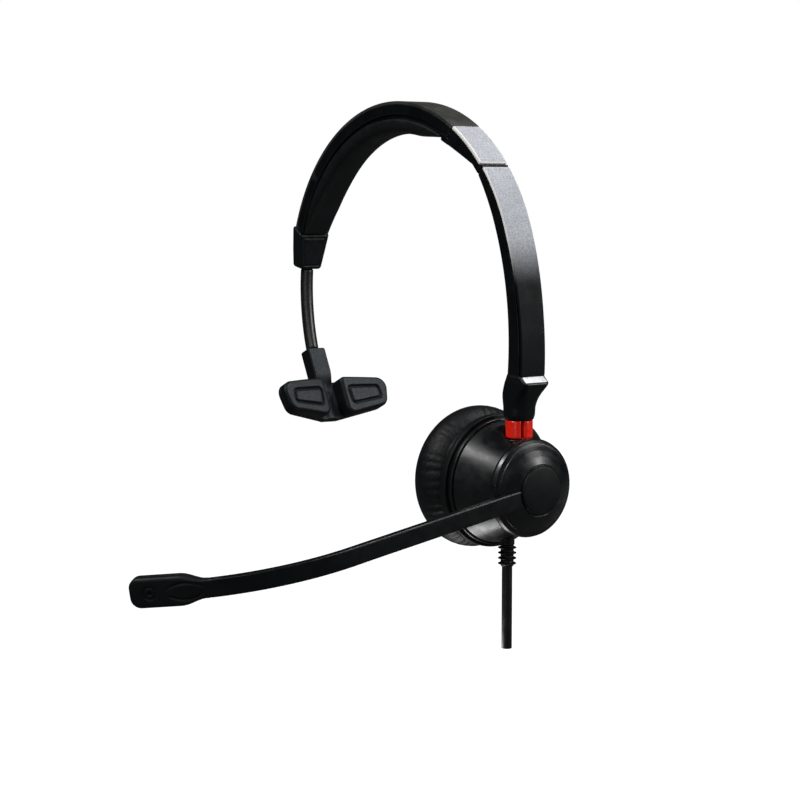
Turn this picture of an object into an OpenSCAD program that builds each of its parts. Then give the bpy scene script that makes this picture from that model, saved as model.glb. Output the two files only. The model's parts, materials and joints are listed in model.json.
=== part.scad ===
// One-ear office headset with a boom microphone and a T-shaped temple rest.
// +X points outward through the ear cup, -Y points forward along the boom, +Z is up.
// The origin is the centre of the face of the ear cushion that rests on the ear.

/* [Headband] */
// Height of the crown of the band above the ear
arch_top = 145.4; // [143:0.1:148]
// Sideways place of the middle of the arch
arch_mid = -36.75; // [-38:0.05:-35]
// Outer radius of the crown of the band
crown_r = 76.1; // [75:0.1:78]
// Width of the band from front to back
band_w = 13; // [12:0.5:16]
// Radial thickness of the band shell
shell_t = 5.6; // [5.4:0.1:6.2]
// Width of the head pad from front to back
pad_w = 14.5; // [12:0.5:17]

/* [Ear-side arm] */
// Outer radius of the lower, flatter part of the arm
flank_r = 134; // [120:1:150]
// Turn from the crown at which the crown radius meets the flank radius
flank_turn = 68; // [64:1:70]
// Turn from the crown at the mouth of the slider sleeve
mouth_turn = 48.7; // [48:0.1:50]
// Radius of the path that the slider tongue runs on
slide_r = 118; // [112:1:122]
// Thickness of the arm at its lower end
arm_end_t = 8.6; // [8:0.1:9.4]

/* [Ear cup] */
// Outward droop of the ear cup's axis in degrees
cup_droop = 1.6; // [0:0.1:3]
// Outer radius of the ear cushion
cushion_r = 27.6; // [27:0.1:30]
// Depth of the ear cushion
cushion_t = 19; // [18:0.5:19]
// Radius of the boom hub's rim
hub_r = 18.4; // [18.2:0.1:20]
// Sideways place of the ear cup's swivel axis
swivel_x = 35.4; // [34.8:0.1:36]

/* [Boom] */
// Droop of the boom below level in degrees
boom_droop = 10; // [0:1:20]
// Length of the straight part of the boom, from the hub's axis
boom_straight = 86; // [80:1:95]
// Distance of the boom's middle line below the hub's axis
boom_drop = 1.2; // [0:0.1:2]
// Radius of the curved part of the boom
boom_curve_r = 80; // [70:1:95]
// Turn of the curved part of the boom towards the mouth
boom_turn = 37.5; // [30:0.5:45]
// Width of the boom strap
strap_w = 6.7; // [6:0.1:7.5]
// Thickness of the boom strap
strap_t = 3; // [2.8:0.1:3.4]
// Extra turn of the microphone capsule at the end of the curve
mic_bend = 9; // [0:0.5:12]
// Length of the microphone capsule
mic_l = 28; // [27:1:32]
// Width of the microphone capsule
mic_w = 11; // [11:0.5:13]

/* [Temple rest] */
// Radius of the steel rod that carries the temple rest
rod_r = 2.7; // [2:0.1:3]
// Radius of the rod's visible bend
rod_bend_r = 85; // [80:1:100]
// Length of the rod's visible bend
rod_l = 35.1; // [33:0.1:40]
// Extra lean of the temple rest towards the head at the rod's end
rest_lean = 8; // [0:1:14]
// Turn of the temple rest about its stem
rest_turn = -3; // [-8:0.5:8]
// Width of the temple rest from front to back
rest_w = 54.4; // [50:0.2:60]
// Height of the temple rest at its middle
rest_h = 17; // [15:0.1:20]

/* [Cable] */
// Radius of the cable's jacket
cable_r = 2; // [1.8:0.05:2.3]
// Height of the cable's cut lower end
cable_end_z = -65; // [-90:1:-45]

/* [Hidden] */
$fn = 96;
fn_band = 240;
fit_gap = 0.05;
run_gap = 0.06;
far = 400;

crown_c = [arch_mid, arch_top - crown_r];
flank_c = crown_c - (flank_r - crown_r) * turn_dir(flank_turn);

// Radial levels of the band, measured from the centre of the crown
cover_t = 1.3;
floor_t = 0.8;
wall_t = 1.5;
shell_in_r = crown_r - shell_t;
cavity_top_r = crown_r - cover_t - fit_gap;
cavity_floor_r = shell_in_r + floor_t;
track_r = 73.1 - 76.1 + crown_r;

// Turns from the crown at which the pieces of the band begin and end
clip_top_turn = -72;
clip_end_turn = -84;
shell_end_turn = -75.5;
sleeve_turn = 30.7;
pad_end_turn = 27;

// Slider tongue: a strip of steel bent about slide_c
tongue_t = 1.2;
tongue_w = 9;
tongue_in = 38;
tongue_chord_turn = 2 * asin(tongue_in / 2 / track_r);
tongue_turn = 2 * asin(tongue_in / 2 / slide_r);
slide_turn = mouth_turn - tongue_chord_turn / 2 + tongue_turn / 2;
mouth_p = arc_point(crown_c, track_r, mouth_turn);
slide_c = mouth_p - slide_r * turn_dir(slide_turn);
tongue_end_turn = slide_turn + 3.4;

bump_turn = slide_turn - 6;
notch_step = 1.4;
detent_w = 5;
detent_depth = 1.6;
detent_turns = [slide_turn - 10, slide_turn - 4.5];
tongue_rivet_turn = slide_turn + 2.1;
tongue_rivet_y = 2.6;

// Small fasteners
screw_r = 0.6;
head_r = 1.1;
rivet_r = 1;
rivet_turns = [-48, 9];
wall_screw_y = 5.3;
wall_head_r = 0.8;
sleeve_screw_turn = 29;
sleeve_head_r = shell_in_r - 1.4;
sleeve_screw_top = shell_in_r + 2.4;
clip_screw_turn = -74.4;
clip_screw_y = 3.6;
clip_head_r = shell_in_r - 0.5;

// Pieces inside and under the band
spring_t = 0.6;
spring_w = 9;
spring_r = cavity_floor_r + 0.02;
spring_turns = [-55, 13];
bush_turn = -73.2;
carrier_r = shell_in_r - 1;
pad_start_turn = -71.3;
pad_in_r = crown_r - 12.9;
pad_flat_turns = [-42, 12];
pad_low_ends = [arc_point(crown_c, carrier_r - 0.8, pad_start_turn),
    arc_point(crown_c, pad_in_r, pad_flat_turns[0])];
pad_low_r = 200;
pad_top_ends = [arc_point(crown_c, pad_in_r, pad_flat_turns[1]),
    arc_point(crown_c, carrier_r - 1.2, pad_end_turn)];
sleeve_in_r = shell_in_r + 0.7;
sleeve_ends = [arc_point(crown_c, shell_in_r - 3, sleeve_turn - 1.7),
    arc_point(crown_c, sleeve_in_r, mouth_turn - 3.7)];
clip_h = 15.6;
clip_in = 3.8;
clip_out = 3.5;
clip_top_w = 14.2;
clip_low_w = 10.4;

// Arm
arm_gap = 0.9;
arm_start_turn = mouth_turn + arm_gap / crown_r * 180 / PI;
arm_root_t = 5;
plate_t = 0.9;
lip_top = 40.9;
lip_low = 38.7;
lip_reach = 2.6;
lip_depth = 2.2;
lip_x = flank_c[0] + sqrt(flank_r * flank_r - pow(lip_top - flank_c[1], 2));
arm_out_r = crown_r - plate_t - fit_gap;
arm_low_turn = 90 + asin((flank_c[1] - lip_top) / flank_r);
arm_low_p = [lip_x - arm_end_t, lip_top];
arm_ends = [arc_point(crown_c, crown_r - arm_root_t, arm_start_turn), arm_low_p];
arm_under_r = 119;
neck_r = 6;
neck_low = 24.15;
collar_top = 24;
collar_low = 17.1;
collar_r = 5.15;
collar_slit_turn = -23;
slit_w = 0.8;
pin_r = 1.98;
pin_top = 36;
pin_low = 8.8;
groove_z = 9.6;
socket_r = 6.4;
socket_top = 16.9;

// Ear cup levels along its own axis, from the cushion's face
ring_lv = cushion_t + fit_gap;
baffle_lv = 20.1;
seat_lv = 23;
cone_lv = 25.1;
back_lv = 39.2;
cup_end_lv = 40.6;
hub_lv = 41;
cap_lv = 48.75;
flange_r = 25.7;
cone_r = 23.7;
cone_end_r = 17;
cup_wall = 1.8;
cushion_hole_r = 12;
cushion_round_r = 9.9;
cloth_r = 14.4;
baffle_back_lv = 22;
sound_hole_r = 0.9;
post_place_r = 19.4;
post_r = 2.1;
post_l = 8;
speaker_r = 15;
coil_r = 5.8;
magnet_lv = 26;
magnet_r = 8;
magnet_t = 4;
board_lv = 31.4;
axle_r = 2;
axle_end_lv = 48.3;
hub_plate_lv = 47.2;
hub_cap_r = 9.2;
cap_dome_r = 60;

// Cable and strain relief
cable_x = 28.7;
cable_core_r = cable_r - 0.4;
relief_low_z = -32.8;
relief_top_z = -24.4;
relief_flange_z = -18;
relief_neck_r = 2.8;
relief_rib_r = 3.55;
relief_pitch = 2.03;
core_top_z = relief_flange_z + 2.5;
wire_top_z = relief_flange_z + 6.5;
wire_x = 0.8;
wire_r = 0.4;

// Boom
strap_lv = 47;
strap_start = 5.7;
boom_c = [boom_straight, strap_lv - boom_curve_r];
boom_end = arc_point(boom_c, boom_curve_r, boom_turn);
boom_wire_r = 0.8;
root_screw_x = 10.5;
root_screw_y = 2.3;
mic_t = 5.2;
mic_gap = 0.35;
mic_round_r = 4.5;
mic_neck_l = 5;
mic_port_x = mic_l - 7.5;
mic_screw_x = mic_neck_l + 4.5;

// Temple rest
rod_core_r = 1.5;
rod_top_turn = -60;
rod_exit_turn = clip_end_turn - 0.5;
rod_exit = arc_point(crown_c, track_r, rod_exit_turn);
rod_bend_c = rod_exit - rod_bend_r * turn_dir(rod_exit_turn);
rod_end_turn = rod_exit_turn - rod_l / rod_bend_r * 180 / PI;
stem_w = 9;
stem_t = 6.4;
stem_gap = 0.5;
stem_l = 16;
rest_face = 7.6;
rest_sweep = 0.089;
rest_end_t = 6;
rest_pad_t = 3.4;
rest_spine_x = -0.9;
rest_y_in = 3.2;
stem_groove_z = 8;
rest_joint_x = -rest_face - rest_sweep * rest_w / 2 + rest_pad_t;
rest_back_x = -rest_face - rest_sweep * rest_w / 2 + rest_end_t;

// ---- Geometry helpers ----

// Direction in the arch's plane, turned from straight up towards the ear cup
function turn_dir(turn) = [sin(turn), cos(turn)];

// Point on a circle at a turn from straight up
function arc_point(c, r, turn) = c + r * turn_dir(turn);

// Disc of radius r on the head's side whose edge runs through two points of the arch
module head_disc(ends, r) {
    middle = (ends[0] + ends[1]) / 2;
    along = ends[1] - ends[0];
    inward = [along[1], -along[0]] / norm(along);
    translate(middle + inward * sqrt(r * r - pow(norm(along) / 2, 2))) circle(r, $fn = fn_band);
}

// Wedge with its tip on c, between two turns from straight up
module wedge(c, turn_a, turn_b) {
    translate(c)
        polygon(concat([[0, 0]], [for (i = [0:4]) far * turn_dir(turn_a + (turn_b - turn_a) * i / 4)]));
}

// Part of a flat ring between two turns
module ring_part(c, r_in, r_out, turn_a, turn_b) {
    intersection() {
        translate(c) difference() {
            circle(r_out, $fn = fn_band);
            circle(r_in, $fn = fn_band);
        }
        wedge(c, turn_a, turn_b);
    }
}

// Stand a drawing up in the arch's plane, with thickness w across it
module across(w, shift = 0) {
    translate([0, shift, 0]) rotate([90, 0, 0]) linear_extrude(w, center = true) children();
}

// Bent bar of round section that follows a circle in the arch's plane
module bent_bar(c, r, bar_r, turn_a, turn_b) {
    translate([c[0], 0, c[1]]) rotate([90, 0, 0]) rotate([0, 0, 90 - turn_b])
        rotate_extrude(angle = turn_b - turn_a, $fn = fn_band)
            translate([r, 0]) circle(bar_r, $fn = 32);
}

// Frame on a circle of the arch: local +Z runs along it away from the crown, local +X outward
module band_frame(c, r, turn) {
    p = arc_point(c, r, turn);
    side = turn < 0 ? -1 : 1;
    translate([p[0], 0, p[1]]) rotate([0, turn + side * 90, 0])
        rotate([0, 0, side > 0 ? 180 : 0]) children();
}

// Round bar that stands on a circle of the arch, between two radii
module spoke(c, turn, r_a, r_b, bar_r, y = 0) {
    translate([c[0], y, c[1]]) rotate([0, turn, 0]) translate([0, 0, r_a]) cylinder(r_b - r_a, r = bar_r);
}

// Rectangle with round corners, centred
module round_rect(w, h, r) {
    square([w - 2 * r, h], center = true);
    square([w, h - 2 * r], center = true);
    for (sx = [-1, 1], sy = [-1, 1])
        translate([sx * (w / 2 - r), sy * (h / 2 - r)]) circle(r);
}

// Ring about the local Z axis
module tube(r_out, r_in, h) {
    difference() {
        cylinder(h, r = r_out);
        translate([0, 0, -1]) cylinder(h + 2, r = r_in);
    }
}

// Ear cup frame: local +Z runs outward along the cup's axis, local +X points down
module cup_frame() {
    rotate([0, 90 + cup_droop, 0]) children();
}

// Boom frame: local +X runs along the boom, local +Z outward along the cup's axis
module boom_frame() {
    cup_frame() rotate([0, 0, boom_droop - 90]) translate([0, boom_drop, 0]) children();
}

// Microphone frame: as the boom frame, but at the end of the boom's curve
module mic_frame() {
    boom_frame() translate([boom_end[0], 0, boom_end[1]]) rotate([0, boom_turn + mic_bend, 0]) children();
}

// Temple rest frame: origin at the rod's end, local +Z down the stem, local +X away from the head
module rest_frame() {
    band_frame(rod_bend_c, rod_bend_r, rod_end_turn) rotate([0, -rest_lean, 0])
        rotate([0, 0, rest_turn]) children();
}

// ---- Headband ----

// Channel that carries the spring, the slider tongue and the temple rod
module band_shell() {
    color([0.03, 0.03, 0.04]) difference() {
        across(band_w)
            ring_part(crown_c, shell_in_r, cavity_top_r, shell_end_turn, sleeve_turn);
        across(band_w - 2 * wall_t)
            ring_part(crown_c, cavity_floor_r, crown_r + 1, shell_end_turn - 2, sleeve_turn + 2);
        for (turn = rivet_turns)
            spoke(crown_c, turn, shell_in_r - 1, crown_r, rivet_r + fit_gap);
        for (sy = [-1, 1]) {
            spoke(crown_c, sleeve_screw_turn, shell_in_r - 1, sleeve_screw_top, screw_r, sy * wall_screw_y);
            spoke(crown_c, clip_screw_turn, shell_in_r - 1, cavity_floor_r + 1, screw_r, sy * clip_screw_y);
        }
    }
}

// Grained strip that closes the channel from outside
module band_top_cover() {
    color([0.16, 0.16, 0.15]) across(band_w)
        ring_part(crown_c, crown_r - cover_t, crown_r, shell_end_turn, sleeve_turn);
}

// Leaf of spring steel that gives the band its grip
module band_spring() {
    color([0.55, 0.56, 0.58]) difference() {
        across(spring_w)
            ring_part(crown_c, spring_r, spring_r + spring_t, spring_turns[0], spring_turns[1]);
        for (turn = rivet_turns)
            spoke(crown_c, turn, shell_in_r, crown_r, rivet_r + fit_gap);
    }
}

// Two rivets that hold the spring on the channel's floor
module spring_rivets() {
    color([0.6, 0.6, 0.62]) for (turn = rivet_turns) {
        spoke(crown_c, turn, shell_in_r, spring_r + spring_t + 0.1, rivet_r);
        spoke(crown_c, turn, spring_r + spring_t + fit_gap, spring_r + spring_t + 0.7, 2 * rivet_r);
    }
}

// Crescent of foam under the band, thinner towards both ends
module head_pad() {
    pad_out_r = carrier_r - fit_gap;
    color([0.05, 0.05, 0.06]) across(pad_w) {
        ring_part(crown_c, pad_in_r, pad_out_r, pad_flat_turns[0], pad_flat_turns[1]);
        difference() {
            ring_part(crown_c, pad_in_r, pad_out_r, pad_start_turn, pad_flat_turns[0] + 0.5);
            head_disc(pad_low_ends, pad_low_r);
        }
        difference() {
            ring_part(crown_c, pad_in_r, pad_out_r, pad_flat_turns[1] - 0.5, pad_end_turn);
            head_disc(pad_top_ends, far);
        }
    }
}

// Thin strip that the pad is glued to, clipped under the band
module pad_carrier() {
    color([0.02, 0.02, 0.02]) across(band_w - 2)
        ring_part(crown_c, carrier_r, shell_in_r - fit_gap, pad_start_turn, pad_end_turn);
}

// End piece of the band that guides the slider tongue
module slider_sleeve() {
    color([0.03, 0.03, 0.04]) difference() {
        union() {
            across(band_w) {
                ring_part(crown_c, sleeve_in_r, cavity_top_r, sleeve_turn + 0.1, mouth_turn);
                difference() {
                    union() {
                        ring_part(crown_c, crown_r / 2, track_r, sleeve_turn + 0.1, mouth_turn);
                        ring_part(crown_c, crown_r / 2, shell_in_r - fit_gap, pad_end_turn + 0.3,
                            sleeve_turn + 0.2);
                    }
                    head_disc(sleeve_ends, far);
                }
            }
            across(band_w - 2 * wall_t - 2 * fit_gap)
                ring_part(crown_c, track_r, cavity_top_r, pad_end_turn, sleeve_turn + 0.2);
        }
        across(tongue_w + 2 * run_gap)
            ring_part(slide_c, slide_r - tongue_t / 2 - run_gap, slide_r + tongue_t / 2 + run_gap,
                slide_turn - 2 * tongue_turn, slide_turn + 10);
        across(detent_w + 2 * fit_gap)
            ring_part(slide_c, slide_r - detent_depth, slide_r, detent_turns[0], detent_turns[1]);
        for (sy = [-1, 1]) {
            spoke(crown_c, sleeve_screw_turn, crown_r / 2, crown_r, screw_r, sy * wall_screw_y);
            spoke(crown_c, sleeve_screw_turn, crown_r / 2, sleeve_head_r, wall_head_r + fit_gap,
                sy * wall_screw_y);
        }
    }
}

// Silver plate on the outside of the sleeve
module sleeve_trim_plate() {
    color([0.72, 0.73, 0.76]) across(band_w)
        ring_part(crown_c, crown_r - cover_t, crown_r, sleeve_turn + 0.1, mouth_turn);
}

// Two screws that hold the sleeve under the band's side walls
module sleeve_screws() {
    color([0.35, 0.35, 0.37]) for (sy = [-1, 1]) {
        spoke(crown_c, sleeve_screw_turn, sleeve_head_r - 0.8, sleeve_head_r, wall_head_r,
            sy * wall_screw_y);
        spoke(crown_c, sleeve_screw_turn, sleeve_head_r - 0.1, sleeve_screw_top - fit_gap,
            screw_r - fit_gap, sy * wall_screw_y);
    }
}

// Leaf spring whose bump clicks into the tongue's notches
module detent_spring() {
    color([0.6, 0.6, 0.62]) {
        across(detent_w)
            ring_part(slide_c, slide_r - detent_depth + fit_gap, slide_r - detent_depth + 0.45,
                detent_turns[0] + 0.1, detent_turns[1] - 0.1);
        across(detent_w) translate(arc_point(slide_c, slide_r - tongue_t / 2 - 0.45, bump_turn))
            circle(0.4, $fn = 32);
    }
}

// Collar that closes the band on the temple side and guides the rod
module temple_clip() {
    color([0.04, 0.04, 0.05]) difference() {
        band_frame(crown_c, track_r, (clip_top_turn + clip_end_turn) / 2)
            translate([-clip_in, 0, 0]) rotate([90, 0, 90]) linear_extrude(clip_in + clip_out)
                polygon([[-clip_top_w / 2, -clip_h / 2], [clip_top_w / 2, -clip_h / 2],
                    [clip_low_w / 2, clip_h / 2], [-clip_low_w / 2, clip_h / 2]]);
        across(band_w + 2 * fit_gap)
            ring_part(crown_c, shell_in_r - fit_gap, crown_r + fit_gap, shell_end_turn - 0.05, 0);
        bent_bar(crown_c, track_r, rod_core_r + 0.2, clip_end_turn - 6, clip_top_turn);
        for (sy = [-1, 1]) {
            spoke(crown_c, clip_screw_turn, crown_r / 2, shell_in_r, screw_r, sy * clip_screw_y);
            spoke(crown_c, clip_screw_turn, crown_r / 2, clip_head_r, head_r + fit_gap, sy * clip_screw_y);
        }
    }
}

// Low-friction block in the channel's end that the rod slides through
module rod_bush() {
    color([0.8, 0.8, 0.76]) difference() {
        across(band_w - 2 * wall_t - 2 * fit_gap)
            ring_part(crown_c, cavity_floor_r + fit_gap, cavity_top_r, shell_end_turn + 0.1, bush_turn);
        bent_bar(crown_c, track_r, rod_core_r + run_gap, clip_end_turn, clip_top_turn + 4);
        for (sy = [-1, 1])
            spoke(crown_c, clip_screw_turn, shell_in_r, track_r, screw_r, sy * clip_screw_y);
    }
}

// Two screws from the head side that join clip, band and bush
module clip_screws() {
    color([0.35, 0.35, 0.37]) for (sy = [-1, 1]) {
        spoke(crown_c, clip_screw_turn, clip_head_r - 0.6, clip_head_r, head_r, sy * clip_screw_y);
        spoke(crown_c, clip_screw_turn, clip_head_r - 0.1, track_r - 0.1, screw_r - fit_gap,
            sy * clip_screw_y);
    }
}

// ---- Ear-side arm ----

// Notched steel strip that slides in the sleeve
module arm_tongue() {
    color([0.62, 0.63, 0.65]) difference() {
        across(tongue_w)
            ring_part(slide_c, slide_r - tongue_t / 2, slide_r + tongue_t / 2,
                slide_turn - tongue_turn, tongue_end_turn);
        for (i = [0:7])
            across(tongue_w + 1)
                translate(arc_point(slide_c, slide_r - tongue_t / 2 - 0.1, bump_turn - notch_step * i))
                    circle(0.45, $fn = 32);
        for (sy = [-1, 1])
            spoke(slide_c, tongue_rivet_turn, slide_r - 3, slide_r + 3, screw_r, sy * tongue_rivet_y);
    }
}

// Two rivets that hold the tongue in the arm
module tongue_rivets() {
    color([0.6, 0.6, 0.62]) for (sy = [-1, 1]) {
        spoke(slide_c, tongue_rivet_turn, slide_r - 1.5, slide_r + 0.9, screw_r - fit_gap,
            sy * tongue_rivet_y);
        spoke(slide_c, tongue_rivet_turn, slide_r - 2.2, slide_r - 1.4, head_r, sy * tongue_rivet_y);
    }
}

// Drawing of the arm's side, from the mouth of the sleeve down to the lip
module arm_side() {
    difference() {
        union() {
            ring_part(crown_c, crown_r / 2, arm_out_r, arm_start_turn, flank_turn);
            ring_part(flank_c, flank_r / 2, flank_r - crown_r + arm_out_r, flank_turn, arm_low_turn);
        }
        head_disc(arm_ends, arm_under_r);
    }
}

// Drawing of the step that carries the lip and sweeps back into the neck
module arm_flare() {
    x0 = lip_x - lip_depth - fit_gap;
    polygon([[arm_low_p[0], lip_top + 0.3], [x0, lip_top + 0.3], [x0, lip_low - fit_gap],
        [lip_x + lip_reach, lip_low - fit_gap], [lip_x + lip_reach, lip_low - 0.9],
        [lip_x + 0.2, lip_low - 3.2], [lip_x - 2.4, lip_low - 6.4], [lip_x - 3.2, lip_low - 9],
        [arm_low_p[0], lip_low - 9]]);
}

// Moulded arm with its round neck
module arm_body() {
    color([0.03, 0.03, 0.04]) difference() {
        union() {
            across(band_w) arm_side();
            across(2 * neck_r) arm_flare();
            translate([swivel_x, 0, neck_low]) cylinder(lip_low - 4 - neck_low, r = neck_r);
            translate([swivel_x, 0, lip_low - 4]) cylinder(5, r1 = neck_r, r2 = neck_r - 2);
        }
        across(tongue_w + 2 * fit_gap)
            ring_part(slide_c, slide_r - tongue_t / 2 - fit_gap, slide_r + tongue_t / 2 + fit_gap,
                slide_turn - 5, tongue_end_turn + 0.05);
        for (sy = [-1, 1]) {
            spoke(slide_c, tongue_rivet_turn, slide_r - 3, slide_r + 1, screw_r, sy * tongue_rivet_y);
            spoke(slide_c, tongue_rivet_turn, slide_r - 9, slide_r - 1.4 + fit_gap, head_r + fit_gap,
                sy * tongue_rivet_y);
        }
        translate([swivel_x, 0, 0]) cylinder(pin_top + fit_gap, r = pin_r + fit_gap);
    }
}

// Plate on the outside of the arm, silver at the top and black at the bottom
module arm_trim_plate() {
    color([0.45, 0.46, 0.48]) across(band_w - 0.4) {
        ring_part(crown_c, crown_r - plate_t, crown_r, arm_start_turn, flank_turn);
        ring_part(flank_c, flank_r - plate_t, flank_r, flank_turn, arm_low_turn);
    }
}

// Bright bar under the plate
module trim_lip() {
    color([0.85, 0.85, 0.87]) across(2 * neck_r + 0.4)
        polygon([[lip_x - lip_depth, lip_top - fit_gap], [lip_x, lip_top - fit_gap],
            [lip_x + lip_reach, lip_low], [lip_x - lip_depth, lip_low]]);
}

// Steel pin on which the ear cup swivels
module swivel_pin() {
    color([0.65, 0.65, 0.68]) translate([swivel_x, 0, 0]) difference() {
        translate([0, 0, pin_low]) cylinder(pin_top - pin_low, r = pin_r);
        translate([0, 0, groove_z]) tube(pin_r + 1, pin_r - 0.55, 0.7);
    }
}

// Snap ring that keeps the pin in the ear cup
module pin_retainer() {
    color([0.4, 0.4, 0.42]) translate([swivel_x, 0, groove_z + 0.05]) difference() {
        tube(3.4, pin_r - 0.5, 0.6);
        translate([0, -0.7, -1]) cube([5, 1.4, 3]);
    }
}

// ---- Ear cup ----

// One half of the red collar; side is -1 for the front half and 1 for the rear one
module collar_half(side) {
    translate([swivel_x, 0, collar_low]) rotate([0, 0, collar_slit_turn]) difference() {
        tube(collar_r, pin_r + 0.12, collar_top - collar_low);
        translate([-10, side > 0 ? -20 + slit_w / 2 : -slit_w / 2, -1]) cube([20, 20, 20]);
    }
}

module collar_front_half() {
    color([0.85, 0.05, 0.03]) collar_half(-1);
}

module collar_rear_half() {
    color([0.85, 0.05, 0.03]) collar_half(1);
}

// Places of the three screws round the ear cup
module at_cup_screws() {
    for (i = [0:2]) rotate([0, 0, 60 + 120 * i]) translate([post_place_r, 0, 0]) children();
}

// Cone-shaped shell behind the speaker
module cup_housing() {
    color([0.03, 0.03, 0.04]) difference() {
        union() {
            cup_frame() difference() {
                union() {
                    translate([0, 0, cone_lv]) cylinder(back_lv - cone_lv, r1 = cone_r, r2 = cone_end_r);
                    translate([0, 0, back_lv]) cylinder(cup_end_lv - back_lv, r = cone_end_r);
                }
                translate([0, 0, cone_lv - 0.01])
                    cylinder(back_lv - cone_lv, r1 = cone_r - cup_wall, r2 = cone_end_r - cup_wall);
            }
            cup_frame() at_cup_screws() translate([0, 0, baffle_back_lv]) cylinder(post_l, r = post_r);
            intersection() {
                translate([swivel_x, 0, groove_z + 1]) cylinder(socket_top - groove_z - 1, r = socket_r);
                cup_frame() translate([0, 0, cone_lv]) cylinder(cup_end_lv - cone_lv, r = flange_r);
            }
        }
        cup_frame() at_cup_screws() translate([0, 0, baffle_back_lv - 1])
            cylinder(post_l, r = screw_r + 0.3);
        cup_frame() translate([0, 0, back_lv - 1]) cylinder(5, r = axle_r + 0.02);
        translate([swivel_x, 0, groove_z]) cylinder(20, r = pin_r + run_gap);
        translate([swivel_x, 0, collar_low - fit_gap]) cylinder(20, r = collar_r + 0.35);
        translate([cable_x, 0, relief_flange_z - 20]) cylinder(20, r = relief_neck_r + fit_gap);
    }
}

// Stepped ring between the housing and the baffle
module housing_ring() {
    color([0.04, 0.04, 0.05]) cup_frame() translate([0, 0, seat_lv])
        tube(flange_r - 1.3, post_place_r + post_r + 0.1, cone_lv - seat_lv - fit_gap);
}

// Front plate of the ear cup, with the sound holes
module baffle_plate() {
    color([0.05, 0.05, 0.06]) cup_frame() difference() {
        translate([0, 0, baffle_lv]) cylinder(seat_lv - baffle_lv - fit_gap, r = flange_r);
        translate([0, 0, baffle_back_lv - fit_gap]) cylinder(5, r = flange_r - 3.1);
        translate([0, 0, baffle_lv - 1]) cylinder(5, r = sound_hole_r);
        for (ring = [1:2], i = [0:6 * ring - 1])
            rotate([0, 0, 60 * i / ring]) translate([4 * ring, 0, baffle_lv - 1])
                cylinder(5, r = sound_hole_r);
        at_cup_screws() {
            translate([0, 0, baffle_lv - 1]) cylinder(5, r = screw_r + 0.35);
            translate([0, 0, baffle_lv - 1]) cylinder(2, r = head_r + 0.75);
        }
    }
}

// Ring that the cushion's cover is tucked under
module cushion_ring() {
    color([0.03, 0.03, 0.03]) cup_frame() translate([0, 0, ring_lv])
        tube(flange_r - 0.3, cloth_r + 0.4, baffle_lv - ring_lv - fit_gap);
}

// Leatherette ear cushion, a ring with a round section
module ear_cushion() {
    color([0.05, 0.05, 0.06]) cup_frame() rotate_extrude() intersection() {
        translate([cushion_r - cushion_round_r, cushion_round_r]) circle(cushion_round_r);
        translate([cushion_hole_r, 0]) square([cushion_r, cushion_t]);
    }
}

// Disc of cloth over the sound holes
module speaker_cloth() {
    color([0.08, 0.08, 0.08]) cup_frame() translate([0, 0, ring_lv + 0.1]) cylinder(0.8, r = cloth_r);
}

// Basket of the speaker, fixed behind the baffle
module speaker_frame() {
    color([0.5, 0.5, 0.52]) cup_frame() difference() {
        translate([0, 0, baffle_back_lv]) cylinder(magnet_lv - baffle_back_lv - fit_gap, r = speaker_r);
        translate([0, 0, baffle_back_lv - 1]) cylinder(magnet_lv - baffle_back_lv, r = speaker_r - 1.4);
        translate([0, 0, magnet_lv - 2]) cylinder(4, r = coil_r + 0.9);
    }
}

// Magnet of the speaker
module speaker_magnet() {
    color([0.3, 0.3, 0.32]) cup_frame() translate([0, 0, magnet_lv]) cylinder(magnet_t, r = magnet_r);
}

// Diaphragm of the speaker with its voice coil
module speaker_diaphragm() {
    color([0.75, 0.7, 0.55]) cup_frame() {
        translate([0, 0, baffle_back_lv + 0.4]) cylinder(0.4, r = speaker_r - 1.6);
        translate([0, 0, baffle_back_lv + 0.7]) tube(coil_r, coil_r - 0.5, 2.6);
    }
}

// Small board that joins the cable to the speaker and the microphone wire
module circuit_board() {
    color([0.05, 0.35, 0.15]) cup_frame() {
        translate([-8, -9, board_lv]) cube([16, 18, 1]);
        for (sx = [-1, 1]) translate([4 * sx - 1.5, -2, board_lv + 0.9]) cube([3, 4, 1]);
    }
}

// Three screws that join baffle, ring and housing
module cup_screws() {
    color([0.5, 0.5, 0.52]) cup_frame() at_cup_screws() {
        translate([0, 0, baffle_lv + 0.15]) cylinder(0.8, r = head_r + 0.6);
        translate([0, 0, baffle_lv + 0.9]) cylinder(7, r = screw_r + 0.3 - fit_gap);
    }
}

// Ribbed rubber sleeve where the cable leaves the cup
module strain_relief() {
    color([0.03, 0.03, 0.03]) translate([cable_x, 0, 0]) difference() {
        union() {
            translate([0, 0, relief_low_z])
                cylinder(relief_flange_z - relief_low_z, r = relief_neck_r - 0.3);
            translate([0, 0, relief_top_z - 0.5])
                cylinder(relief_flange_z - relief_top_z + 0.5, r = relief_neck_r);
            translate([0, 0, relief_flange_z]) cylinder(1.2, r = relief_neck_r + 1.2);
            for (i = [0:3])
                translate([0, 0, relief_low_z + 0.5 + relief_pitch * i]) {
                    cylinder(0.55, r1 = relief_neck_r - 0.3, r2 = relief_rib_r);
                    translate([0, 0, 0.55]) cylinder(0.55, r1 = relief_rib_r, r2 = relief_neck_r - 0.3);
                }
        }
        translate([0, 0, relief_low_z - 1]) cylinder(20, r = cable_core_r + 0.02);
    }
}

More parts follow.
